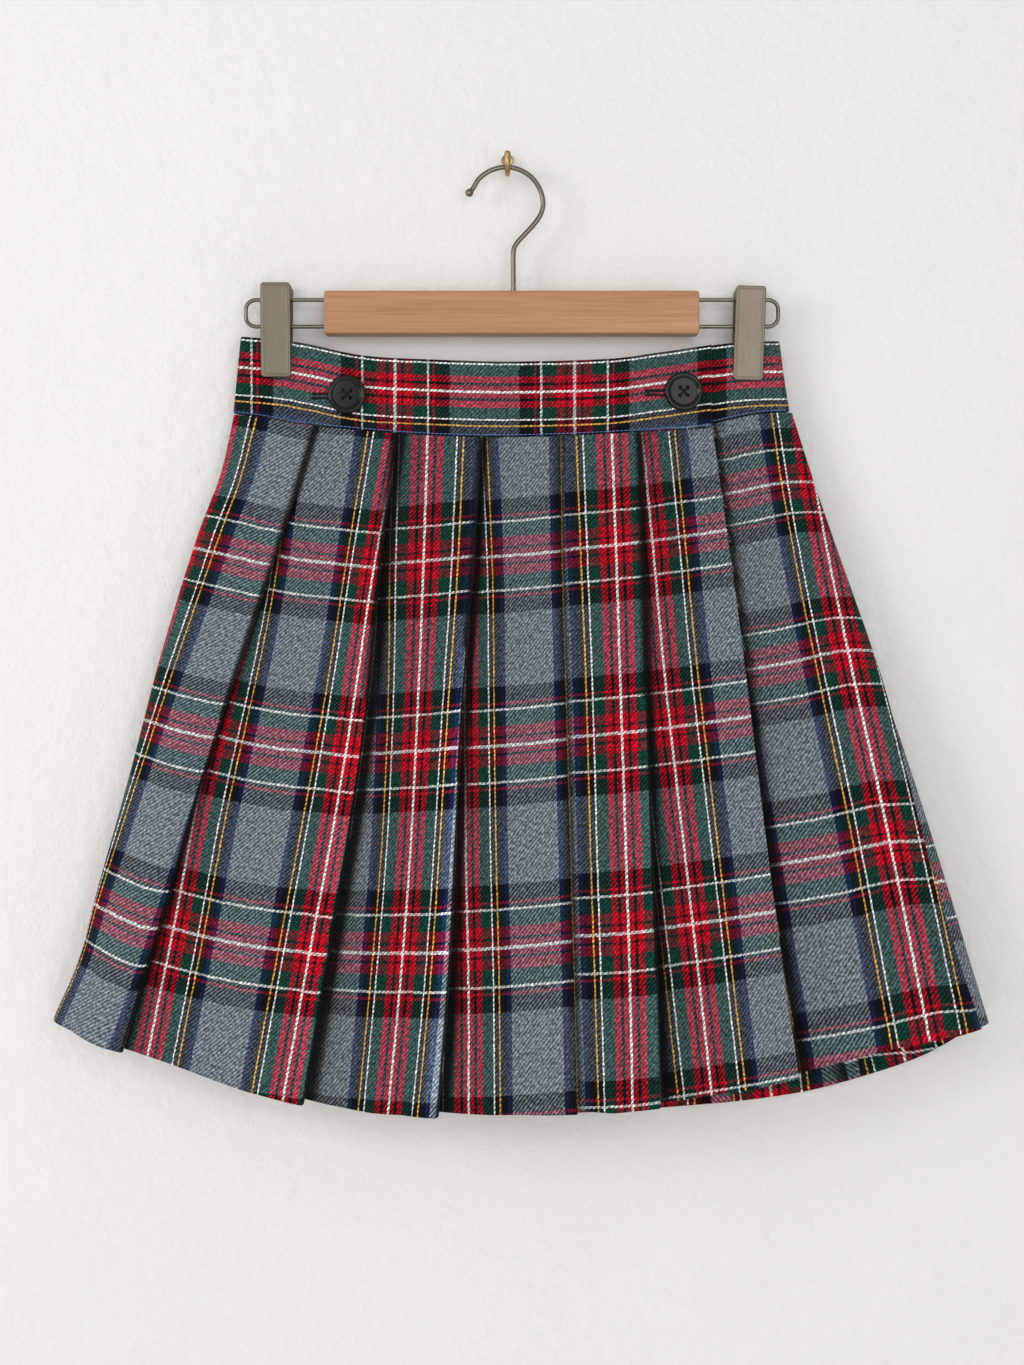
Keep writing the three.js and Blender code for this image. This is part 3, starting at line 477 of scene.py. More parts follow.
# The sett: millimetres for each of its units across the skirt, and its units in a repeat each way.
WARP_UNIT = 0.6
WARP_REPEAT = 150
WEFT_REPEAT = 190
# The length of a repeat down the cloth above its first red centre.
REPEAT_DOWN = 111.5


def column(table, k, places):
    """One column of a table whose first column is the place, read by the smooth curve."""
    return follow(table[:, 0], table[:, k], places)


def row_by_row(places, at, values):
    """Straight interpolation in each row of a grid, done at once: every row is moved clear of the others."""
    clear = np.arange(len(at))[:, None] * 1e5
    found = np.interp((places + clear).ravel(), (at + clear).ravel(), values.ravel())
    return found.reshape(places.shape)


class PlanRing:
    """The garment from above, one ring for each row of cloth.

    The front runs from the left end to the right: a quarter ellipse, a long belly that is a squared
    cosine of the distance from the middle, and another quarter ellipse. The back runs home the same way.
    A place is a length from the left end, and a point stands off it by a distance outward.
    """

    def __init__(self, table, down):
        sizes = (column(table, k, down)[:, None] for k in range(1, 9))
        left, right, mid, deep, turn, bow, hind, reach = sizes
        half = (right - left) / 2
        angle = np.linspace(0, np.pi / 2, 25)
        share = np.arange(1, 240) / 240
        x = np.concatenate([
            left + turn * (1 - np.cos(angle)), left + turn + share * 2 * (half - turn),
            right - turn * (1 - np.cos(angle[::-1])),
        ], axis=1)
        cap = np.concatenate([np.sin(angle), np.ones(239), np.sin(angle[::-1])])
        belly = np.cos(np.minimum(np.abs(x - left - half) / half / reach, 1) * np.pi / 2) ** 2
        near = np.stack([x, mid - deep * cap - bow * belly], axis=-1)
        far = np.stack([x, mid + deep * cap + hind * belly], axis=-1)[:, :-1][:, ::-1]
        self.points = np.concatenate([near, far], axis=1)
        self.lengths = lengths_along(self.points, axis=1)
        round_trip = np.concatenate([self.points[:, -2:-1], self.points, self.points[:, 1:2]], axis=1)
        heading = unit(round_trip[:, 2:] - round_trip[:, :-2])
        self.outward = np.stack([heading[..., 1], -heading[..., 0]], axis=-1)
        self.left, self.half = left, half
        self.corner = x.shape[1] - 1
        self.front = self.lengths[:, self.corner][:, None]
        self.total = self.lengths[:, -1][:, None]
        self.turned = self.lengths[:, 24][:, None]

    def place(self, s, off):
        """The plan point that stands `off` outward of the length s."""
        at = [row_by_row(s, self.lengths, self.points[..., k]) for k in (0, 1)]
        out = [row_by_row(s, self.lengths, self.outward[..., k]) for k in (0, 1)]
        size = np.hypot(*out)
        return at[0] + off * out[0] / size, at[1] + off * out[1] / size

    def length_at(self, x):
        """The length along the front where the ring passes x."""
        upto = self.corner + 1
        return row_by_row(x, self.points[:, :upto, 0], self.lengths[:, :upto])

    def across(self, s):
        """The place between the ring's ends, -1 to 1."""
        return (self.place(s, np.zeros_like(s))[0] - self.left) / self.half - 1


def ease(x, start, end):
    """0 before start, 1 after end, and 3t^2 - 2t^3 between."""
    t = np.clip((x - start) / (end - start), 0, 1)
    return t * t * (3 - 2 * t)


def between(start, end, steps, first=True):
    """Even steps from one column of values to another, with or without the first."""
    share = np.linspace(0, 1, steps + 1)[0 if first else 1:]
    return start + (end - start) * share


# Points in one pleat of the way below, and the one at the middle of its outer turn.
PLEAT_POINTS = 63
EDGE_POINT = 36


def pleat_way(lead, pleats, tail):
    """The cloth's way through knife pleats, as lengths along the ring and distances off it.

    Each panel leaves the fold hidden under its left neighbour, rises as 1 - (1 - t)^1.6 to its shoulder
    and on to its edge, turns round a half circle there, runs back under itself, and turns forward round
    a smaller half circle into the next panel. Returns the way and the columns of edges and valleys.
    """
    s, off = [lead[0]], [lead[1]]
    count = lead[0].shape[1]
    clear = lead[0][:, -1:]
    knots = [0]
    for pleat in pleats:
        edge, under, rise, gape = pleat["edge"], pleat["under"], pleat["rise"], pleat["open"] / 2
        fold = edge - under
        shoulder = np.maximum(2 * PITCH + 0.1, rise - 0.06 * under)
        share = np.linspace(0, 1, 23)
        panel = between(clear + 1, fold - PITCH, 22)
        top = between(fold - PITCH, edge - gape, 10, False)
        climb = np.linspace(0, 1, 11)[1:]
        out = np.pi * np.linspace(0.5, -0.5, 9)[1:]
        inward = np.pi * np.linspace(0.5, 1.5, 7)
        under_run = between(edge - gape, fold + PITCH / 2, 8)[:, 1:-1]
        drop = np.linspace(0, 1, 9)[1:-1]
        home = between(fold + PITCH / 2, edge + 1, 9)[:, 1:-1]
        s += [panel, top, edge - gape + gape * np.cos(out), under_run]
        off += [shoulder * (1 - (1 - share) ** 1.6)]
        off += [shoulder + (rise - shoulder) * climb + 0.4 * climb * (1 - climb)]
        off += [rise - gape + gape * np.sin(out), rise - 2 * gape + (PITCH - rise + 2 * gape) * drop]
        s += [fold + PITCH / 2 * (1 + np.cos(inward)), home]
        off += [np.broadcast_to(PITCH / 2 * (1 + np.sin(inward)), (len(fold), 7)), np.zeros_like(home)]
        knots += [count + EDGE_POINT, count + PLEAT_POINTS]
        count += PLEAT_POINTS
        clear = edge
    last = tail(clear + 1)
    s, off = np.concatenate([*s, last[0]], axis=1), np.concatenate([*off, last[1]], axis=1)
    return s, off, [*knots, s.shape[1] - 1]


def rim_steps(edge):
    """Shares of the way in from a rounded rim, close together at the rim itself."""
    return edge * np.array([0.0, 0.08, 0.3, 0.6, 1.0])


def rim_round(places, size, edge):
    """1 well inside a border, falling as a quarter circle to 0 over its last `edge` on either side."""
    inside = np.clip(np.minimum(places, size - places) / edge, 0, 1)
    return np.sqrt(np.clip(1 - (1 - inside) ** 2, 0, 1))


def rows_down(length, edge, steps):
    """Places from seam to hem, with the rows of both rims."""
    rim = rim_steps(edge) / length
    return np.concatenate([rim[:-1], np.linspace(rim[-1], 1 - rim[-1], steps), 1 - rim[:-1][::-1]])


def hang(ring, s, off, down, top, bottom, drop=0.25):
    """Puts a way of cloth in space: each row lies between two heights that follow the ring across, and
    what stands out hangs lower by `drop` of its distance."""
    x, y = ring.place(s, off)
    across = ring.across(s)
    high = top(across)
    z = high + (bottom(across) - drop * off - high) * down[:, None]
    return np.stack([x, y, z], axis=-1)


def wall_of_cloth(name, points, chart, thickness, edge, shade):
    """A closed shell round a middle sheet: half the thickness out and half in along the row's own normal,
    rounded off to nothing over `edge` at all four borders."""
    step = unit(np.gradient(points[..., :2], axis=1))
    outward = np.stack([step[..., 1], -step[..., 0], np.zeros(step.shape[:2])], axis=-1)
    run = lengths_along(points, axis=1)
    fall = lengths_along(points)
    half = thickness / 2 * rim_round(run, run[:, -1:], edge) * rim_round(fall, fall[-1:], edge)
    outer = points + outward * half[..., None]
    inner = points - outward * half[..., None]
    both = np.concatenate([outer, inner[:, ::-1]], axis=1)
    chart = np.concatenate([chart, chart[:, ::-1]], axis=1)
    shade = np.concatenate([shade, shade[:, ::-1]], axis=1)
    return surface(name, both, around=True, uv=chart, shade=shade)


def path_length(s, off):
    """How much cloth lies between the start of each row and its points."""
    return lengths_along(np.stack([s, off], axis=-1), axis=1)


def weft_repeats(points, centres):
    """Repeats of the sett down the cloth, from the lengths below the seam of three red centres in a row:
    the parabola through them, because the cloth is stretched a little more towards the hem, and even
    repeats above the first."""
    fall = lengths_along(points)
    first, second, third = centres
    above = (fall - first) / REPEAT_DOWN
    middle = (fall - first) * (fall - third) / ((second - first) * (second - third))
    below = middle + 2 * (fall - first) * (fall - second) / ((third - first) * (third - second))
    return np.where(fall < first, above, below)


def creases(x, down, table):
    """Soft ridges and troughs: each is its height times exp(-(distance from its line / width)^2). It fades
    in along its length, and out again unless it runs to the hem."""
    total = np.zeros_like(x)
    for x_from, x_to, start, stop, width, height in table:
        share = np.clip((down[:, None] - start) / (stop - start), 0, 1)
        line = x_from + (x_to - x_from) * share
        length = ease(share, 0, 0.3) * (1 - ease(share, 0.75, 1.0) * (stop < 1))
        total += height * length * np.exp(-(((x - line) / width) ** 2))
    return total


# Creases of the front: x at their top and bottom, place of their top and bottom, width and height.
FRONT_CREASES = [
    (-140, -196, 0.10, 0.75, 7, -0.9), (-150, -236, 0.25, 1.0, 9, 0.9), (-100, -170, 0.05, 0.7, 8, 0.7),
    (-88, -140, 0.1, 1.0, 10, -0.8), (-45, -78, 0.12, 1.0, 9, 0.9), (-34, -62, 0.3, 1.0, 7, -0.7),
    (-2, 0, 0.05, 0.5, 6, 0.6), (10, 8, 0.2, 1.0, 10, -0.7), (55, 62, 0.15, 1.0, 9, 0.8),
    (68, 74, 0.0, 0.6, 6, -0.5), (100, 118, 0.1, 1.0, 9, -0.8), (112, 140, 0.3, 1.0, 8, 0.7),
    (140, 206, 0.08, 0.9, 10, 0.9), (150, 232, 0.2, 1.0, 8, -0.8),
]

wrap_down = rows_down(400, RIM, 104)
wrap_ring = PlanRing(SKIRT_RING, wrap_down)
wrap_edge, wrap_lip, wrap_inner = (column(WRAP, k, wrap_down)[:, None] for k in (1, 2, 3))


def front_pleat(table):
    """One pleat's sizes on every row of the front, its edge as a length along the ring."""
    x, under, rise, gape = (column(table, k, wrap_down)[:, None] for k in range(1, 5))
    return {"edge": wrap_ring.length_at(x), "under": under, "rise": rise, "open": gape}


front_pleats = [front_pleat(table) for table in FRONT_PLEATS]
first_fold = front_pleats[0]["edge"] - front_pleats[0]["under"]
lead_end = np.minimum(wrap_ring.turned, 0.4 * first_fold)
lead = np.concatenate([
    SIDE_GAP + rim_steps(RIM) + 0 * lead_end, between(SIDE_GAP + RIM, lead_end, 8, False),
], axis=1)
free = wrap_ring.length_at(wrap_edge)


def to_free_edge(valley):
    """The last panel, which rises as 1 - (1 - t)^1.6 to the wrap's lip and ends in a rounded rim."""
    s = np.concatenate([between(valley, free - RIM, 24), free - rim_steps(RIM)[:-1][::-1]], axis=1)
    share = (s - valley) / (free - valley)
    return s, wrap_lip * (1 - np.clip(1 - share, 0, 1) ** 1.6)


front_s, front_off, knots = pleat_way((lead, np.zeros_like(lead)), front_pleats, to_free_edge)
# The front lifts over the start of its inner end, over three fifths of the way from the left side to it.
left_side = -163.5 - 105 * wrap_down[:, None]
lifted = wrap_ring.length_at(wrap_inner + 0.6 * (left_side - wrap_inner))
over_inner = OVER_INNER * ease(front_s, lifted, wrap_ring.length_at(wrap_inner) - 4)
front_x = wrap_ring.place(front_s, 0 * front_s)[0]
# Where the sett falls: its units across from a red centre, at each panel's left and right edge, on four
# rows from seam to hem.
SETT_ROWS = (0, 0.33, 0.66, 1)
FRONT_WARP = [
    (8.5, 8, 17, 27), (94, 96, 108, 118), (212, 168, 147, 125), (296, 314, 320, 324),
    (421, 400, 374, 354), (500, 500, 505, 510), (628, 603, 588, 569), (717, 717, 717, 717),
    (852, 847, 847, 845), (927, 927, 927, 930), (1048, 1034, 1017, 999), (1123, 1132, 1133, 1138),
]
# How far below the seam the first three red centres of the weft lie, at the same edges.
FRONT_WEFT = [
    (83.8, 190.1, 302.5), (87.3, 195.2, 311.2), (81.0, 193.8, 309.1), (81.4, 193.7, 310.3),
    (78.6, 191.8, 308.3), (71.3, 184.4, 303.6), (72.3, 184.9, 302.8), (68.9, 180.1, 297.6),
    (68.2, 179.0, 295.1), (66.3, 177.9, 294.4), (66.1, 177.9, 294.2), (62.6, 174.5, 289.3),
]
front_points = hang(
    wrap_ring, front_s, front_off + over_inner + creases(front_x, wrap_down, FRONT_CREASES), wrap_down,
    lambda across: column(SEAM, 1, across) - SEAM_GAP, lambda across: column(HEM, 1, across),
)
front_path = path_length(front_s, front_off)
at_knots = front_path[:, knots]
warp_knots = np.stack([follow(SETT_ROWS, values, wrap_down) for values in FRONT_WARP], axis=1) / WARP_REPEAT
front_warp = row_by_row(front_path, at_knots, warp_knots)
weft_knots = [np.broadcast_to(values, warp_knots.shape) for values in np.transpose(FRONT_WEFT)]
front_weft = weft_repeats(front_points, [row_by_row(front_path, at_knots, values) for values in weft_knots])
front_chart = np.stack([front_warp, front_weft], axis=-1)

# Tartan: a 2/2 twill of fine yarns. The same order of colours mirrors about a red centre and a grey
# one, in the warp and, a little wider and without yellow and blue, in the weft.
WARP_SETT = [
    (0, "white"), (0.95, "red"), (6.1, "black"), (8.8, "red"), (15.5, "green"), (26.8, "white"),
    (28.4, "black"), (32.9, "yellow"), (34.4, "navy"), (42, "blue"), (47, "grey"),
]
WEFT_SETT = [
    (0, "white"), (1.2, "red"), (6.8, "black"), (9.4, "red"), (19, "green"), (34.1, "white"),
    (36.1, "black"), (40, "red"), (42.4, "black"), (58, "grey"),
]
# Yarns in a repeat.
WARP_YARNS = 136.0
WEFT_YARNS = 168.0
YARNS = {
    "white": paint(234, 234, 229), "red": paint(188, 2, 30), "black": paint(4, 5, 8),
    "green": paint(6, 56, 46), "yellow": paint(226, 170, 78), "navy": paint(5, 8, 22),
    "blue": paint(12, 28, 78), "grey": paint(119, 129, 137),
}


def sett_colours(tree, repeats, sett, repeat):
    """The yarn's colour, and 1 where it is one of the bright lines: the distance from the nearest red
    centre, as a share of half a repeat, looked up in steps. `repeat` is one in the sett's own units."""
    away = put(tree, "Math", {0: repeats, 1: 0.5}, operation="PINGPONG")
    share = put(tree, "Math", {0: away.outputs[0], 1: 2.0}, operation="MULTIPLY")
    ramp = put(tree, "ValToRGB", {0: share.outputs[0]})
    stops = ramp.color_ramp.elements
    ramp.color_ramp.interpolation = "CONSTANT"
    for k, (start, yarn) in enumerate(sett):
        position = 2 * start / repeat
        stop = stops[k] if k < 2 else stops.new(position)
        stop.position = position
        stop.color = (*YARNS[yarn][:3], 1.0 if yarn in ("white", "yellow") else 0.0)
    return ramp.outputs[0], ramp.outputs[1]


def tartan_weave():
    """The tartan as a node group: repeats of the sett across and along go in; the colour and the height of
    the yarns come out. A yarn of the warp lies over two and under two, one step on in each row; a white
    or yellow yarn lies over three. Part of each colour is their even mix, as brushed cloth blends them,
    taken darker than the plain mean as painted shade of the yarns on one another."""
    group = bpy.data.node_groups.new("tartan weave", "ShaderNodeTree")
    group.interface.new_socket("Repeats", in_out="INPUT", socket_type="NodeSocketVector")
    group.interface.new_socket("Colour", in_out="OUTPUT", socket_type="NodeSocketColor")
    group.interface.new_socket("Height", in_out="OUTPUT", socket_type="NodeSocketFloat")
    repeats = group.nodes.new("NodeGroupInput").outputs["Repeats"]

    def maths(operation, a, b=0.0):
        return put(group, "Math", {0: a, 1: b}, operation=operation).outputs[0]

    def patches(scale, detail=0.0):
        lay = put(group, "Mapping", {"Vector": repeats, "Scale": scale}).outputs[0]
        return noise(group, lay, 1.0, Detail=detail)

    # The yarns wander a little from their places.
    shift = spread(group, patches((14.0, 14.0, 1.0), 2.0), 0.0, 1.0, -0.003, 0.003)
    shift = maths("ADD", shift, spread(group, patches((110.0, 130.0, 1.0)), 0.2, 0.8, -0.0022, 0.0022))
    both = put(group, "SeparateXYZ", {0: repeats})
    across = maths("ADD", both.outputs[0], shift)
    along = maths("ADD", both.outputs[1], shift)
    warp, proud = sett_colours(group, across, WARP_SETT, WARP_REPEAT)
    weft, weft_proud = sett_colours(group, along, WEFT_SETT, WEFT_REPEAT)
    yarn_across = maths("MULTIPLY", across, WARP_YARNS)
    yarn_along = maths("MULTIPLY", along, WEFT_YARNS)
    stair = maths("ADD", maths("FLOOR", yarn_across), maths("FLOOR", yarn_along))
    lift = maths("SUBTRACT", maths("ADD", proud, 1.5), weft_proud)
    over = maths("LESS_THAN", maths("FLOORED_MODULO", stair, 4.0), lift)
    crisp = mixed(group, over, weft, warp)
    # Painted shade of the yarns on one another: the even mix is taken on the colours' roots, so it is darker
    # than their plain mean.
    roots = [put(group, "Gamma", {"Color": yarn, "Gamma": 0.3}).outputs[0] for yarn in (weft, warp)]
    share = spread(group, lift, 0.5, 2.5, 0.44, 0.86)
    even = put(group, "Gamma", {"Color": mixed(group, share, *roots), "Gamma": 3.333}).outputs[0]
    colour = mixed(group, 0.5, even, crisp)
    # The twill's diagonal line, the round of each yarn, its fibres and the nap that lies over them. The line
    # is relief and also painted shade and highlight along the twill's ribs; the fibres and nap vary the tone
    # at random.
    line = maths("PINGPONG", maths("ADD", yarn_across, yarn_along), 2.0)
    rib = maths("PINGPONG", put(group, "Mix", {0: over, 2: yarn_along, 3: yarn_across}).outputs[0], 0.5)
    fibres = {0: over, 2: patches((26.0, 110.0, 1.0)), 3: patches((96.0, 30.0, 1.0))}
    fibre = spread(group, put(group, "Mix", fibres).outputs[0], 0.3, 0.7, 0.78, 1.18)
    nap = spread(group, patches((48.0, 60.0, 1.0), 1.0), 0.34, 0.66, 0.5, 1.38)
    tone = maths("MULTIPLY", maths("MULTIPLY", spread(group, line, 0.3, 1.6, 0.42, 1.4), fibre), nap)
    # The bright lines are of smoother yarn, so the painted twill shade marks them less.
    bead = spread(group, line, 0.3, 1.6, 0.4, -0.1)
    bright = maths("MAXIMUM", proud, weft_proud)
    tone = maths("MULTIPLY", tone, maths("ADD", maths("MULTIPLY", bright, bead), 1.0))
    # The tone multiplies the colour: painted shade and highlight of the twill, with the yarns' own random
    # tone.
    colour = mixed(group, 1.0, colour, tone, "MULTIPLY")
    height = maths("ADD", maths("MULTIPLY", rib, 0.8), maths("MULTIPLY", line, 0.7))
    out = group.nodes.new("NodeGroupOutput")
    group.links.new(colour, out.inputs["Colour"])
    group.links.new(height, out.inputs["Height"])
    return group


weave = tartan_weave()


def woven(name):
    """Brushed tartan cloth: the weave's colour and relief under a faint nap, its colour multiplied by the
    painted shade and highlight near the folds.
    """
    settings = {"Roughness": 0.88, "Specular IOR Level": 0.15, "Sheen Weight": 0.04, "Sheen Roughness": 0.5}
    material, tree, shader = finish_of(name, settings)
    chart = put(tree, "UVMap", uv_map="chart").outputs[0]
    cloth = tree.nodes.new("ShaderNodeGroup")
    cloth.node_tree = weave
    tree.links.new(chart, cloth.inputs[0])
    # Painted shade and highlight near the folds, kept on each point, multiply the weave's colour.
    shade = put(tree, "Attribute", attribute_name="painted_fold_shading").outputs["Fac"]
    shaded = mixed(tree, 1.0, cloth.outputs["Colour"], shade, "MULTIPLY")
    tree.links.new(shaded, shader.inputs["Base Color"])
    emboss(tree, shader, cloth.outputs["Height"], 0.35, 0.0002)
    return material


tartan = woven("tartan")


def painted_fold_shading(s, down, places, sizes):
    """Painted shade and highlight for pressed cloth near its folds, multiplied into its colour: 1 in the
    open, darker (painted shade) where it runs in under the fold before it, lighter (painted highlight) on the
    turn of its own fold.

    Each row of sizes: width of the deep painted shade at seam and hem, its strength, the strength of the wide
    painted shade that fades as exp(-distance / 22 mm), and the gain of the painted highlight over the last
    11 mm before the fold.
    """
    shade = np.ones_like(s)
    for place, (at_seam, at_hem, deep, wide, gain) in zip(places, sizes):
        past = s - place
        width = at_seam + (at_hem - at_seam) * down[:, None]
        # Painted shade where the cloth runs in under the fold before it: a deep band and a wide one that
        # fades.
        wide_shade = wide * np.exp(-np.clip(past, 0, None) / 22)
        under = 1 - deep * (1 - ease(past, 0.5 * width, 1.6 * width)) - wide_shade
        # Painted highlight on the turn of the cloth's own fold.
        before = 1 + gain * ease(past, -11, -6) * ease(down[:, None], 0.15, 0.5)
        shade = np.where(past > -1, np.clip(under, 0.05, 1), shade * before)
    return shade


pleat_edges = [pleat["edge"] for pleat in front_pleats]
# Painted shade beside each front fold, and painted highlight on the turns, strongest on the third.
front_shade = painted_fold_shading(front_s, wrap_down, pleat_edges, [
    (2.0, 3.6, 0.72, 0.2, 0), (5.5, 6.0, 0.85, 0.45, 0.2), (4.0, 6.0, 0.85, 0.32, 0.9),
    (2.0, 3.0, 0.5, 0.12, 0), (3.0, 6.0, 0.8, 0.3, 0.2),
])
front = wall_of_cloth("front_wrap", front_points, front_chart, CLOTH, RIM, front_shade)
dress(front, tartan, ["apron_over"])

# ------------------------------------------------------------------------- inner end of wrap and back
# Beneath the wrap lies its flat inner end, which shows on the right and laps over the back at the side.
# The back is pressed into six knife pleats of its own and is sewn to the wrap at the left side.
INNER_SEAM = np.array([
    (-1.0, -154.8), (-0.9, -156.9), (-0.5, -165.0), (0.0, -168.6), (0.5, -164.6), (0.72, -160.5),
    (0.82, -156.8), (0.9, -154.6), (1.0, -153.8),
])
BACK_HEM = np.array([
    (-1.0, -514.9), (-0.75, -540.0), (-0.5, -560.0), (-0.25, -571.0), (0.0, -575.5), (0.34, -571.0),
    (0.6, -562.8), (0.76, -551.3), (0.89, -538.0), (1.0, -517.5),
])
# The back pleats from the right, at the seam and at the hem: the fold's share of the back's length, the
# hidden cloth's depth, how far the fold stands out, and how far it gapes.
BACK_PLEATS = np.array([
    [(0, 0.17, 30, 3.1, 1.5), (1, 0.155, 8, 4.4, 2.2)],
    [(0, 0.31, 31, 3.1, 1.5), (1, 0.3, 14, 4.8, 2.4)],
    [(0, 0.45, 32, 3.1, 1.5), (1, 0.45, 20, 5.0, 2.6)],
    [(0, 0.59, 32, 3.1, 1.5), (1, 0.59, 24, 4.6, 2.2)],
    [(0, 0.73, 31, 3.1, 1.5), (1, 0.735, 16, 5.0, 2.4)],
    [(0, 0.87, 30, 3.1, 1.5), (1, 0.875, 9, 4.4, 2.2)],
])

# The inner end laps this far over the back and stands off it there, and the back starts this far short
# of the inner end's own edge.
LAP = 22
LAP_RISE = 1.9
BACK_SHORT = 14

side_down = rows_down(390, RIM, 90)
side_ring = PlanRing(SKIRT_RING, side_down)
side_edge, side_inner, side_short = (column(WRAP, k, side_down)[:, None] for k in (1, 3, 4))
start = side_ring.length_at(side_inner)
end = side_ring.front - side_short
lap = end - LAP
near_end = end - np.minimum(side_ring.turned, 6)
under_s = np.concatenate([
    start + rim_steps(RIM), between(start + RIM, lap, 84, False), between(lap, near_end, 24, False),
    between(near_end, end - RIM, 10, False), end - rim_steps(RIM)[:-1][::-1],
], axis=1)
under_off = LAP_RISE * ease(under_s, lap, lap + 7)
under_x = side_ring.place(under_s, 0 * under_s)[0]
under_points = hang(
    side_ring, under_s, under_off + creases(under_x, side_down, FRONT_CREASES), side_down,
    lambda across: column(INNER_SEAM, 1, across) - SEAM_GAP, lambda across: column(HEM, 1, across),
)
# The sett at the wrap's free edge and at the right side, in the same units and on the same four rows.
free_place = side_ring.length_at(side_edge)
warp_left = follow(SETT_ROWS, (53, 47, 35, 31), side_down)[:, None]
warp_right = follow(SETT_ROWS, (137, 175, 200, 219), side_down)[:, None]
warp_start = warp_left - (free_place - start) / WARP_UNIT
warp_at = np.concatenate([start, free_place, side_ring.front + 0 * start], axis=1)
warp_units = np.concatenate([warp_start, warp_left, warp_right], axis=1)
under_warp = row_by_row(under_s, warp_at, warp_units / WARP_REPEAT)
under_chart = np.stack([under_warp, weft_repeats(under_points, (43.6, 150.4, 266.5))], axis=-1)
# Painted shade where the inner end runs in under the wrap's free edge.
under_shade = painted_fold_shading(under_s, side_down, [free_place], [(3.5, 6.5, 0.8, 0.3, 0)])
under = wall_of_cloth("wrap_inner_end", under_points, under_chart, CLOTH, RIM, under_shade)
dress(under, tartan, ["apron_under"])

BACK_CREASES = [
    (150, 220, 0.1, 0.9, 10, 0.9), (120, 168, 0.2, 1.0, 9, -0.8), (70, 96, 0.05, 0.8, 10, 0.8),
    (20, 30, 0.15, 1.0, 9, -0.9), (-14, -20, 0.1, 0.7, 8, 0.7), (-60, -88, 0.2, 1.0, 11, 0.9),
    (-100, -160, 0.1, 0.85, 9, -0.8), (-140, -214, 0.15, 1.0, 10, 0.8),
]
back_start = side_ring.front - side_short - BACK_SHORT
turning = side_ring.front - np.minimum(side_ring.turned, 6)
turned = side_ring.front + side_ring.turned
lead = np.concatenate([
    back_start + rim_steps(RIM), between(back_start + RIM, turning, 8, False),
    between(turning, side_ring.front, 6, False), between(side_ring.front, turned, 12, False),
], axis=1)
back_length = side_ring.total - side_ring.front


def back_pleat(table):
    """One pleat's sizes on every row of the back, its edge as a length along the ring."""
    share, under, rise, gape = (column(table, k, side_down)[:, None] for k in range(1, 5))
    return {"edge": side_ring.front + share * back_length, "under": under, "rise": rise, "open": gape}


back_pleats = [back_pleat(table) for table in BACK_PLEATS]
last_turn = np.minimum(side_ring.turned, 0.6 * (side_ring.total - back_pleats[-1]["edge"]))


def to_side_seam(valley):
    """The flat last panel, round the left end and up to the side seam."""
    home = side_ring.total - SIDE_GAP
    bend = side_ring.total - last_turn
    flat = between(valley, bend, 14)
    rounded = between(bend, home - RIM, 10, False)
    s = np.concatenate([flat, rounded, home - rim_steps(RIM)[:-1][::-1]], axis=1)
    return s, np.zeros_like(s)


back_s, back_off, knots = pleat_way((lead, np.zeros_like(lead)), back_pleats, to_side_seam)
back_x = side_ring.place(back_s, 0 * back_s)[0]
behind = ease(back_s, side_ring.front, side_ring.front + 30)
back_creases = behind * creases(back_x, side_down, BACK_CREASES)
back_points = hang(
    side_ring, back_s, back_off + back_creases, side_down,
    lambda across: column(INNER_SEAM, 1, across) - SEAM_GAP,
    lambda across: np.where(back_s < side_ring.front, column(HEM, 1, across), column(BACK_HEM, 1, across)),
)
# The sett runs evenly along the back's cloth, which starts where the inner end's side leaves off.
back_path = path_length(back_s, back_off)
BACK_WARP = {"start": 30, "units": 1197}
back_warp = (BACK_WARP["start"] + BACK_WARP["units"] * back_path / back_path[:, -1:]) / WARP_REPEAT
back_chart = np.stack([back_warp, weft_repeats(back_points, (66.0, 178.0, 294.0))], axis=-1)
back_edges = [pleat["edge"] for pleat in back_pleats]
# Painted shade beside each back fold, and painted highlight on the turns of some.
back_shade = painted_fold_shading(back_s, side_down, back_edges, [
    (3.0, 5.0, 0.7, 0.2, 0), (3.5, 6.0, 0.8, 0.25, 0.3), (4.0, 6.0, 0.8, 0.3, 0.2), (2.5, 4.0, 0.65, 0.2, 0),
    (3.0, 6.0, 0.8, 0.25, 0.3), (3.0, 5.0, 0.7, 0.2, 0),
])
back = wall_of_cloth("back", back_points, back_chart, CLOTH, RIM, back_shade)
dress(back, tartan, ["back_panel"])

# ------------------------------------------------------------------------------------------ waistband
# The band is the same tartan turned a quarter, folded over stiffening. Its upper end buttons over its
# lower end in front; the third piece runs along the back.
BAND_RING = np.array([
    (0, -159.1, 162.2, -12.7, 1.8, 1.8, 7, 1.8, 0.84), (0.5, -161.3, 165, -12.7, 1.8, 1.8, 7.8, 2, 0.84),
    (1, -163.5, 168.2, -12.7, 2.2, 2.4, 8.5, 2.2, 0.86),
])
BAND_TOP = np.array([
    (-1.0, -108.8), (-0.81, -111.8), (-0.55, -120.7), (-0.29, -123.7), (0.0, -125.2), (0.37, -123.1),
    (0.57, -118.6), (0.83, -112.6), (1.0, -111.5),
])
# The band's thickness and rounded rim, how far its upper end stands off over the lower one, and a repeat
# of the sett along it.
BAND = 2.4
BAND_RIM = 1.2
BAND_LIFT = 2.75
BAND_REPEAT = 106.4

band_tartan = woven("band_tartan")
band_down = rows_down(45, BAND_RIM, 22)
band_ring = PlanRing(BAND_RING, band_down)
band_points = {}


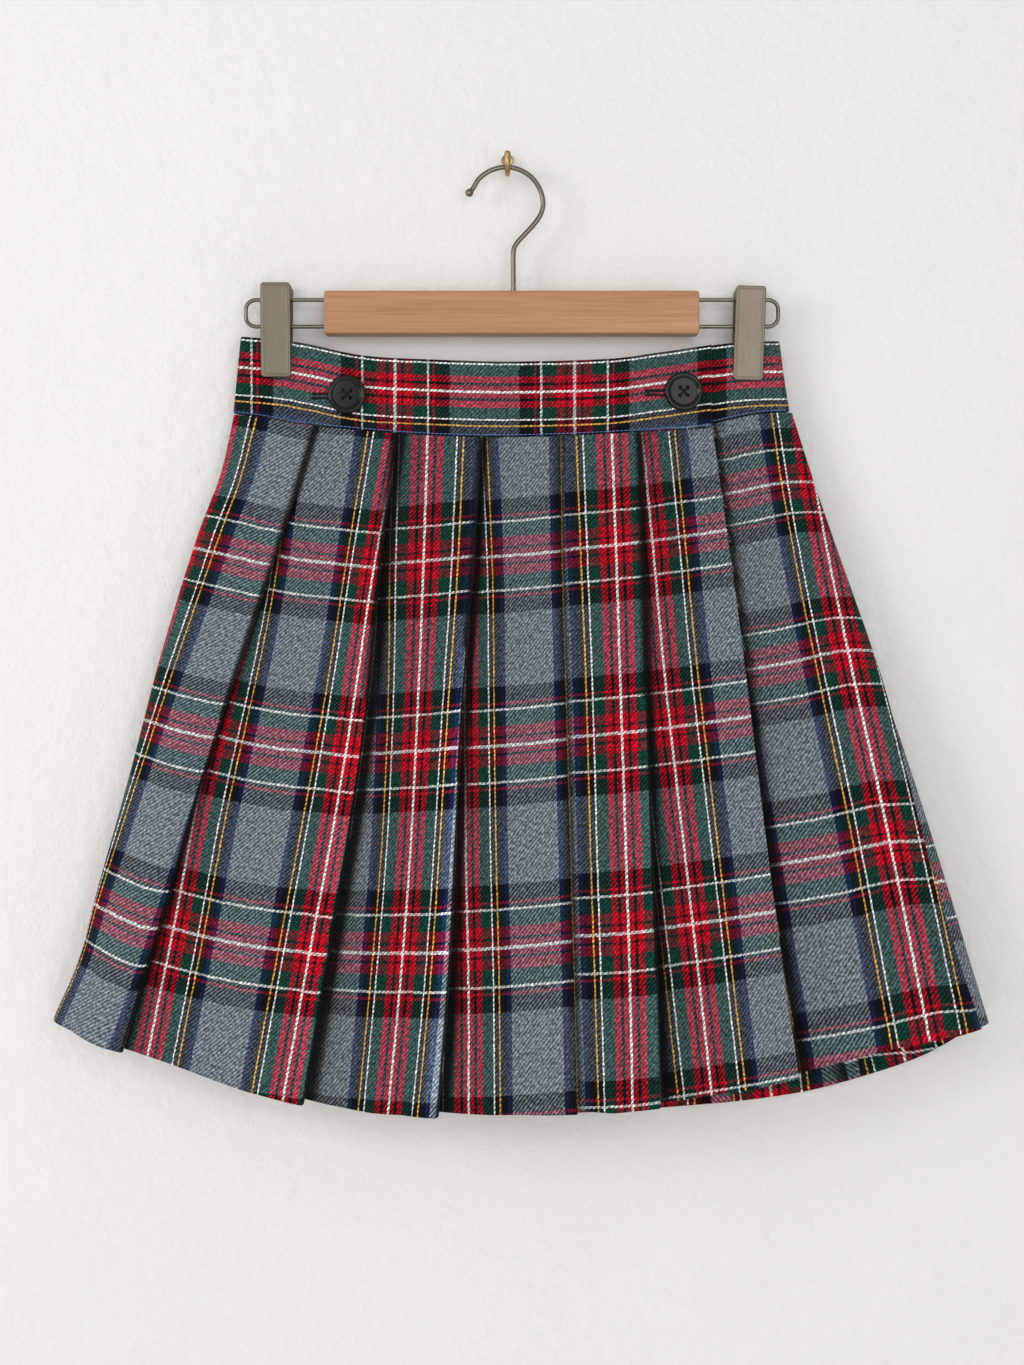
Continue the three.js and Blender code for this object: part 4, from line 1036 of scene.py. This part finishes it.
def band_piece(name, s, off, seam, centre, node):
    """A stretch of the band. Down it the sett starts 31 units above a red centre, and along it the wider
    order has a red centre at the length `centre`."""
    points = hang(
        band_ring, s, off, band_down,
        lambda across: column(BAND_TOP, 1, across), lambda across: column(seam, 1, across), drop=0,
    )
    down_band = (lengths_along(points) / WARP_UNIT - 31) / WARP_REPEAT
    chart = np.stack([down_band, (s - centre) / BAND_REPEAT], axis=-1)
    band_points[name] = points
    piece = wall_of_cloth(name, points, chart, BAND, BAND_RIM, np.ones(points.shape[:2]))
    return dress(piece, band_tartan, [node])


def band_length(x):
    """The length along the band's front where it passes x, on every row."""
    return band_ring.length_at(np.full((len(band_down), 1), x))


def band_stretch(start, end, steps):
    """Lengths along the band from one rounded rim to another."""
    rim = rim_steps(BAND_RIM)
    middle = between(start + BAND_RIM, end - BAND_RIM, steps, False)
    return np.concatenate([start + rim, middle, end - rim[:-1][::-1]], axis=1)


left_end = np.full((len(band_down), 1), SIDE_GAP)
over_s = band_stretch(left_end, band_length(121.8), 180)
over_off = BAND_LIFT * ease(over_s, band_length(-128.0), band_length(-112.0))
over_centre = band_length(-66.6)
band_over = band_piece("band_over", over_s, over_off, SEAM, over_centre, "waistband_over")

low_s = band_stretch(band_length(-109.0), band_ring.front - SIDE_GAP, 150)
low_centre = band_length(151.5) - BAND_REPEAT / 2
band_under = band_piece("band_under", low_s, 0 * low_s, INNER_SEAM, low_centre, "waistband_under")

hind_start = band_ring.front + SIDE_GAP
hind_s = band_stretch(hind_start, band_ring.total - SIDE_GAP, 160)
band_back = band_piece("band_back", hind_s, 0 * hind_s, INNER_SEAM, hind_start + 60, "waistband_back")

# --------------------------------------------------------------------------------------------- clips
# Each clip is two stamped plates of satin nickel that lean together at the jaws, with a coil spring
# between them that grips the two wires. The back plate's top is curled over for the thumb.
# Each clip: its x, how far its plates reach above the wires' middle, and its lean in degrees.
CLIPS = [("left", -138.4, 17.7, 0.0), ("right", 144.9, 15.7, 1.6)]
WIRES_Z = (LOOP["top"] + LOOP["bottom"]) / 2
PLATE = {"width": 18, "height": 56, "thick": 1.4, "corner": 2.2, "apart": 6.7, "jaw": 3.4}
SPRING = {"radius": 5.0, "wire": 0.68, "half": 5.9, "turns": 8}
nickel = drawn_metal("nickel", paint(122, 114, 100), 0.42, (1, 1, 0.06))


def in_clip(points, x, lean):
    """Leans a clip's points about the wires' middle, and puts them in place."""
    angle = math.radians(lean)
    leaned = points[..., 0] * math.cos(angle) + points[..., 2] * math.sin(angle)
    height = points[..., 2] * math.cos(angle) - points[..., 0] * math.sin(angle)
    return np.stack([x + leaned, WIRE_Y + points[..., 1], WIRES_Z + height], axis=-1)


def clip_plate(above, side):
    """A plate with a fine groove inside its rim, which stands off the wires and is tilted so that its jaw
    comes inward."""
    thick, below = PLATE["thick"], above - PLATE["height"]
    tilt = math.atan2(PLATE["jaw"], -below)
    turn = np.linspace(0, np.pi / 2, 5)
    rim = np.stack([0.7 * (1 - np.sin(turn)), 0.7 * (1 - np.cos(turn))], axis=1).tolist()
    groove = [(9.0, 0.0), (2.5, 0.0), (2.1, 0.0), (1.9, 0.1), (1.6, 0.1), (1.4, 0.0)]
    back = [(0.0, 1.0), (0.4, thick), (2.0, thick), (9.0, thick)]
    rings = pressed_rings(PLATE["width"], PLATE["height"], PLATE["corner"], [*groove, *rim, *back])
    rings[..., 2] += (above + below) / 2
    depth = rings[..., 1] - thick - PLATE["apart"] / math.cos(tilt)
    turned = np.stack([rings[..., 0], depth * math.cos(tilt) - rings[..., 2] * math.sin(tilt),
                       rings[..., 2] * math.cos(tilt) + depth * math.sin(tilt)], axis=-1)
    turned[..., 1] *= -side
    return turned


for name, x, above, lean in CLIPS:
    for which, side in (("front", -1), ("back", 1)):
        plate = in_clip(clip_plate(above, side), x, lean)
        leaf = surface(f"clip_{name}_{which}_plate", plate, around=True, sharp=35, turn_out=True)
        dress(leaf, nickel, [f"clip_{name}_{which}"])
    along = np.linspace(0, 1, 260)
    coil = 2 * np.pi * SPRING["turns"] * along
    radial = np.stack([0 * coil, np.cos(coil), np.sin(coil)], axis=1)
    path = SPRING["radius"] * radial
    path[:, 0] = SPRING["half"] * (2 * along - 1)
    spring_radii = SPRING["wire"] * np.sqrt(np.clip(np.minimum(along, 1 - along) / 0.004, 0, 1))
    spring = round_wire(f"clip_{name}_coil", in_clip(path, x, lean), spring_radii, radial, 8)
    dress(spring, steel, [f"clip_{name}_spring"])
    grip = np.linspace(-8, 8, 30)
    curl_path = np.stack([grip, np.full_like(grip, 8.6), np.full_like(grip, above - 0.4)], axis=1)
    curl_radii = 1.3 * np.sqrt(np.clip(1 - (np.abs(grip) / 8) ** 16, 0, 1))
    curl = round_wire(f"clip_{name}_curl", in_clip(curl_path, x, lean), curl_radii, (0, 1, 0), 14)
    dress(curl, nickel)

# ------------------------------------------------------------------------------------------- buttons
# Two black four-hole buttons with a raised rim are sewn on with crossed black thread, through worked
# buttonholes in the upper end of the band.
# Each button: its x and z, and the x where its buttonhole starts.
BUTTONS = [("left", -95.2, -144.5, -116.1), ("right", 104.6, -142.7, 81.7)]
# A button turned: radii from its middle to its rim with the height of its face there, and its back.
BUTTON_FACE = np.array([
    (0, 2.1), (7.6, 2.15), (8.3, 2.35), (9.1, 2.95), (9.9, 3.2), (10.6, 3.12), (11.1, 2.8), (11.5, 2.2),
])
BUTTON_BACK = np.array([(11.5, 1.0), (11.1, 0.3), (10.5, 0.0), (6.0, 0.0), (0.0, 0.0)])
HOLE = {"from_middle": 2.3, "radius": 0.72, "edge": 0.95, "depth": 1.7}
STRAND = {"half": 3.25, "beside": 0.32, "radius": 0.36}
BUTTONHOLE = {"stitches": 27, "apart": 1.35, "below": 0.6, "length": 2.1, "radius": 0.38}

horn, tree, shader = finish_of("button_black", {"Specular IOR Level": 0.3})
place = put(tree, "TexCoord").outputs["Object"]
cloudy = noise(tree, place, 260.0, Detail=4.0)
scuff = noise(tree, place, 1500.0, Detail=2.0)
tree.links.new(mixed(tree, cloudy, paint(6, 6, 8), paint(15, 15, 18)), shader.inputs["Base Color"])
tree.links.new(spread(tree, scuff, 0.3, 0.7, 0.14, 0.3), shader.inputs["Roughness"])
emboss(tree, shader, cloudy, 0.06, 0.0002)


def spun_thread(name, colour, scale):
    """Sewing thread: a fine twist in tone and relief."""
    material, tree, shader = finish_of(name, {"Roughness": 0.75, "Specular IOR Level": 0.25})
    place = put(tree, "TexCoord").outputs["Object"]
    twist = noise(tree, place, scale, Detail=2.0)
    lighter = tuple(min(1.0, 1.9 * c + 0.004) for c in colour[:3]) + (1.0,)
    tree.links.new(mixed(tree, twist, colour, lighter), shader.inputs["Base Color"])
    emboss(tree, shader, twist, 0.4, 0.0002)
    return material


black_thread = spun_thread("black_thread", paint(12, 12, 14), 2600.0)


def stitches(name, middles, headings, outwards, length, radius, material):
    """One piece of many stitches. Each is a spindle: its radius and its rise off the cloth follow
    the root of 1 - t^2 along it, and its two ends sink in."""
    t = np.sin(np.linspace(-np.pi / 2, np.pi / 2, 7))
    swell = np.sqrt(np.clip(1 - t**2, 0, 1))
    angle = np.linspace(0, 2 * np.pi, 6, endpoint=False)
    side = np.cross(headings, outwards)
    core = middles[:, None] + headings[:, None] * (t * length / 2)[:, None]
    core = core + outwards[:, None] * (radius * (1.4 * swell - 0.7))[:, None]
    ring = np.cos(angle)[:, None] * side[:, None] + np.sin(angle)[:, None] * outwards[:, None]
    points = core[:, :, None] + (radius * swell)[:, None, None] * ring[:, None]
    index = np.arange(points[..., 0].size).reshape(points.shape[:3])
    mesh = bpy.data.meshes.new(name)
    quads = cells(np.concatenate([index, index[..., :1]], axis=2))
    mesh.from_pydata((points.reshape(-1, 3) / 1000).tolist(), [], quads)
    weld(mesh, True)
    dress(add(name, mesh), material)


middle_ring = PlanRing(BAND_RING, np.array([0.5]))


def on_band(x, off):
    """Points that stand off the middle of the band at x, and the outward directions there."""
    s = middle_ring.length_at(np.atleast_2d(x))
    near = np.stack(middle_ring.place(s, np.full_like(s, off)), axis=-1)[0]
    far = np.stack(middle_ring.place(s, np.full_like(s, off + 1)), axis=-1)[0]
    return near, far - near


for name, x, z, hole_start in BUTTONS:
    seat, outward = on_band(x, BAND_LIFT + BAND / 2 + 0.55)
    axis = unit(np.array([outward[0, 0], outward[0, 1], 0.02]))
    across = unit(np.cross((0, 0, 1), axis))
    up = np.cross(axis, across)
    centre = np.array([seat[0, 0], seat[0, 1], z])
    face = np.concatenate([np.arange(0, 5.2, 0.12), np.linspace(5.2, 11.5, 34)])
    dish = column(BUTTON_FACE, 1, face)
    turn = np.linspace(0, 2 * np.pi, 168, endpoint=False)
    flat = np.stack([face[:, None] * np.cos(turn), face[:, None] * np.sin(turn)], axis=-1)
    to_hole = np.hypot(*np.moveaxis(np.abs(flat) - HOLE["from_middle"], -1, 0))
    top = dish[:, None] - HOLE["depth"] * (1 - ease(to_hole, HOLE["radius"], HOLE["edge"]))
    top = top - 0.12 * (1 - ease(to_hole, HOLE["edge"], 1.3))
    under_face = np.stack([BUTTON_BACK[:, :1] * np.cos(turn), BUTTON_BACK[:, :1] * np.sin(turn)], axis=-1)
    flat = np.concatenate([flat, under_face])
    height = np.concatenate([top, BUTTON_BACK[:, 1:] + 0 * turn])
    body = centre + flat[..., :1] * across + flat[..., 1:] * up + height[..., None] * axis
    button = surface(f"button_{name}_face", body, around=True, sharp=50, turn_out=True)
    dress(button, horn, [f"button_{name}"])
    for k, (dx, dz) in enumerate(((1, 1), (1, -1))):
        for m, beside in enumerate((-STRAND["beside"], STRAND["beside"])):
            t = np.linspace(-1, 1, 40)
            way = (dx * across + dz * up) / math.sqrt(2)
            square = np.cross(axis, way)
            rise = 0.7 + (1.9 + 0.25 * k) * (1 - t**6)
            path = centre + way * (STRAND["half"] * t)[:, None] + square * beside + axis * rise[:, None]
            radii = STRAND["radius"] * np.sqrt(np.clip(1 - t**30, 0, 1))
            strand = round_wire(f"button_{name}_thread_{2 * k + m}", path, radii, square, 8)
            dress(strand, black_thread)
    stem = centre + axis * np.linspace(-0.7, 0.4, 8)[:, None]
    shank = round_wire(f"button_{name}_shank", stem, 2.2 * np.array([0, 1, 1, 1, 1, 1, 1, 0.0]), across, 16)
    dress(shank, black_thread)
    places = np.linspace(hole_start, x, BUTTONHOLE["stitches"])
    foot, out = on_band(places, BAND_LIFT + BAND / 2 + 0.05)
    outs = np.insert(out, 2, 0, axis=1)
    for m, dz in enumerate((-BUTTONHOLE["apart"], BUTTONHOLE["apart"])):
        middles = np.insert(foot, 2, z + dz - BUTTONHOLE["below"], axis=1)
        heading = np.broadcast_to((0.0, 0.0, 1.0), middles.shape)
        length, radius = BUTTONHOLE["length"], BUTTONHOLE["radius"]
        stitches(f"buttonhole_{name}_{m}", middles, heading, outs, length, radius, black_thread)

# ----------------------------------------------------------------------------------------- stitching
# A pale blue thread closes the band onto the skirt, and a dark one catches the hem up on the inside,
# with a small prick on the face at every stitch.
SEAM_STITCH = {"down": 0.982, "off": 1.15, "pitch": 2.5, "length": 2.3, "radius": 0.26}
HEM_STITCH = {"down": 0.981, "off": 0.5, "pitch": 4.2, "length": 1.5, "radius": 0.2}
blue_thread = spun_thread("blue_thread", paint(84, 110, 160), 1600.0)
hem_thread = spun_thread("hem_thread", paint(26, 29, 38), 1600.0)


def sew(name, points, down, stitch, thread):
    """A row of stitches spaced evenly along a cloth at one place down it, `off` out from its middle."""
    at = stitch["down"]
    i = np.searchsorted(down, at) - 1
    share = (at - down[i]) / (down[i + 1] - down[i])
    row = points[i] * (1 - share) + points[i + 1] * share
    step = np.gradient(row, axis=0)
    lengths = lengths_along(row)
    outward = unit(np.stack([step[:, 1], -step[:, 0], np.zeros(len(row))], axis=1))
    places = np.arange(1.5, lengths[-1] - 1.5, stitch["pitch"])
    middles, ways, outs = (
        np.stack([np.interp(places, lengths, values[:, k]) for k in range(3)], axis=1)
        for values in (row + outward * stitch["off"], step, outward)
    )
    stitches(name, middles, unit(ways), unit(outs), stitch["length"], stitch["radius"], thread)


sew("hem_front", front_points, wrap_down, HEM_STITCH, hem_thread)
sew("hem_side", under_points, side_down, HEM_STITCH, hem_thread)
sew("hem_back", back_points, side_down, HEM_STITCH, hem_thread)
for name in ("over", "under", "back"):
    sew(f"seam_{name}", band_points[f"band_{name}"], band_down, SEAM_STITCH, blue_thread)
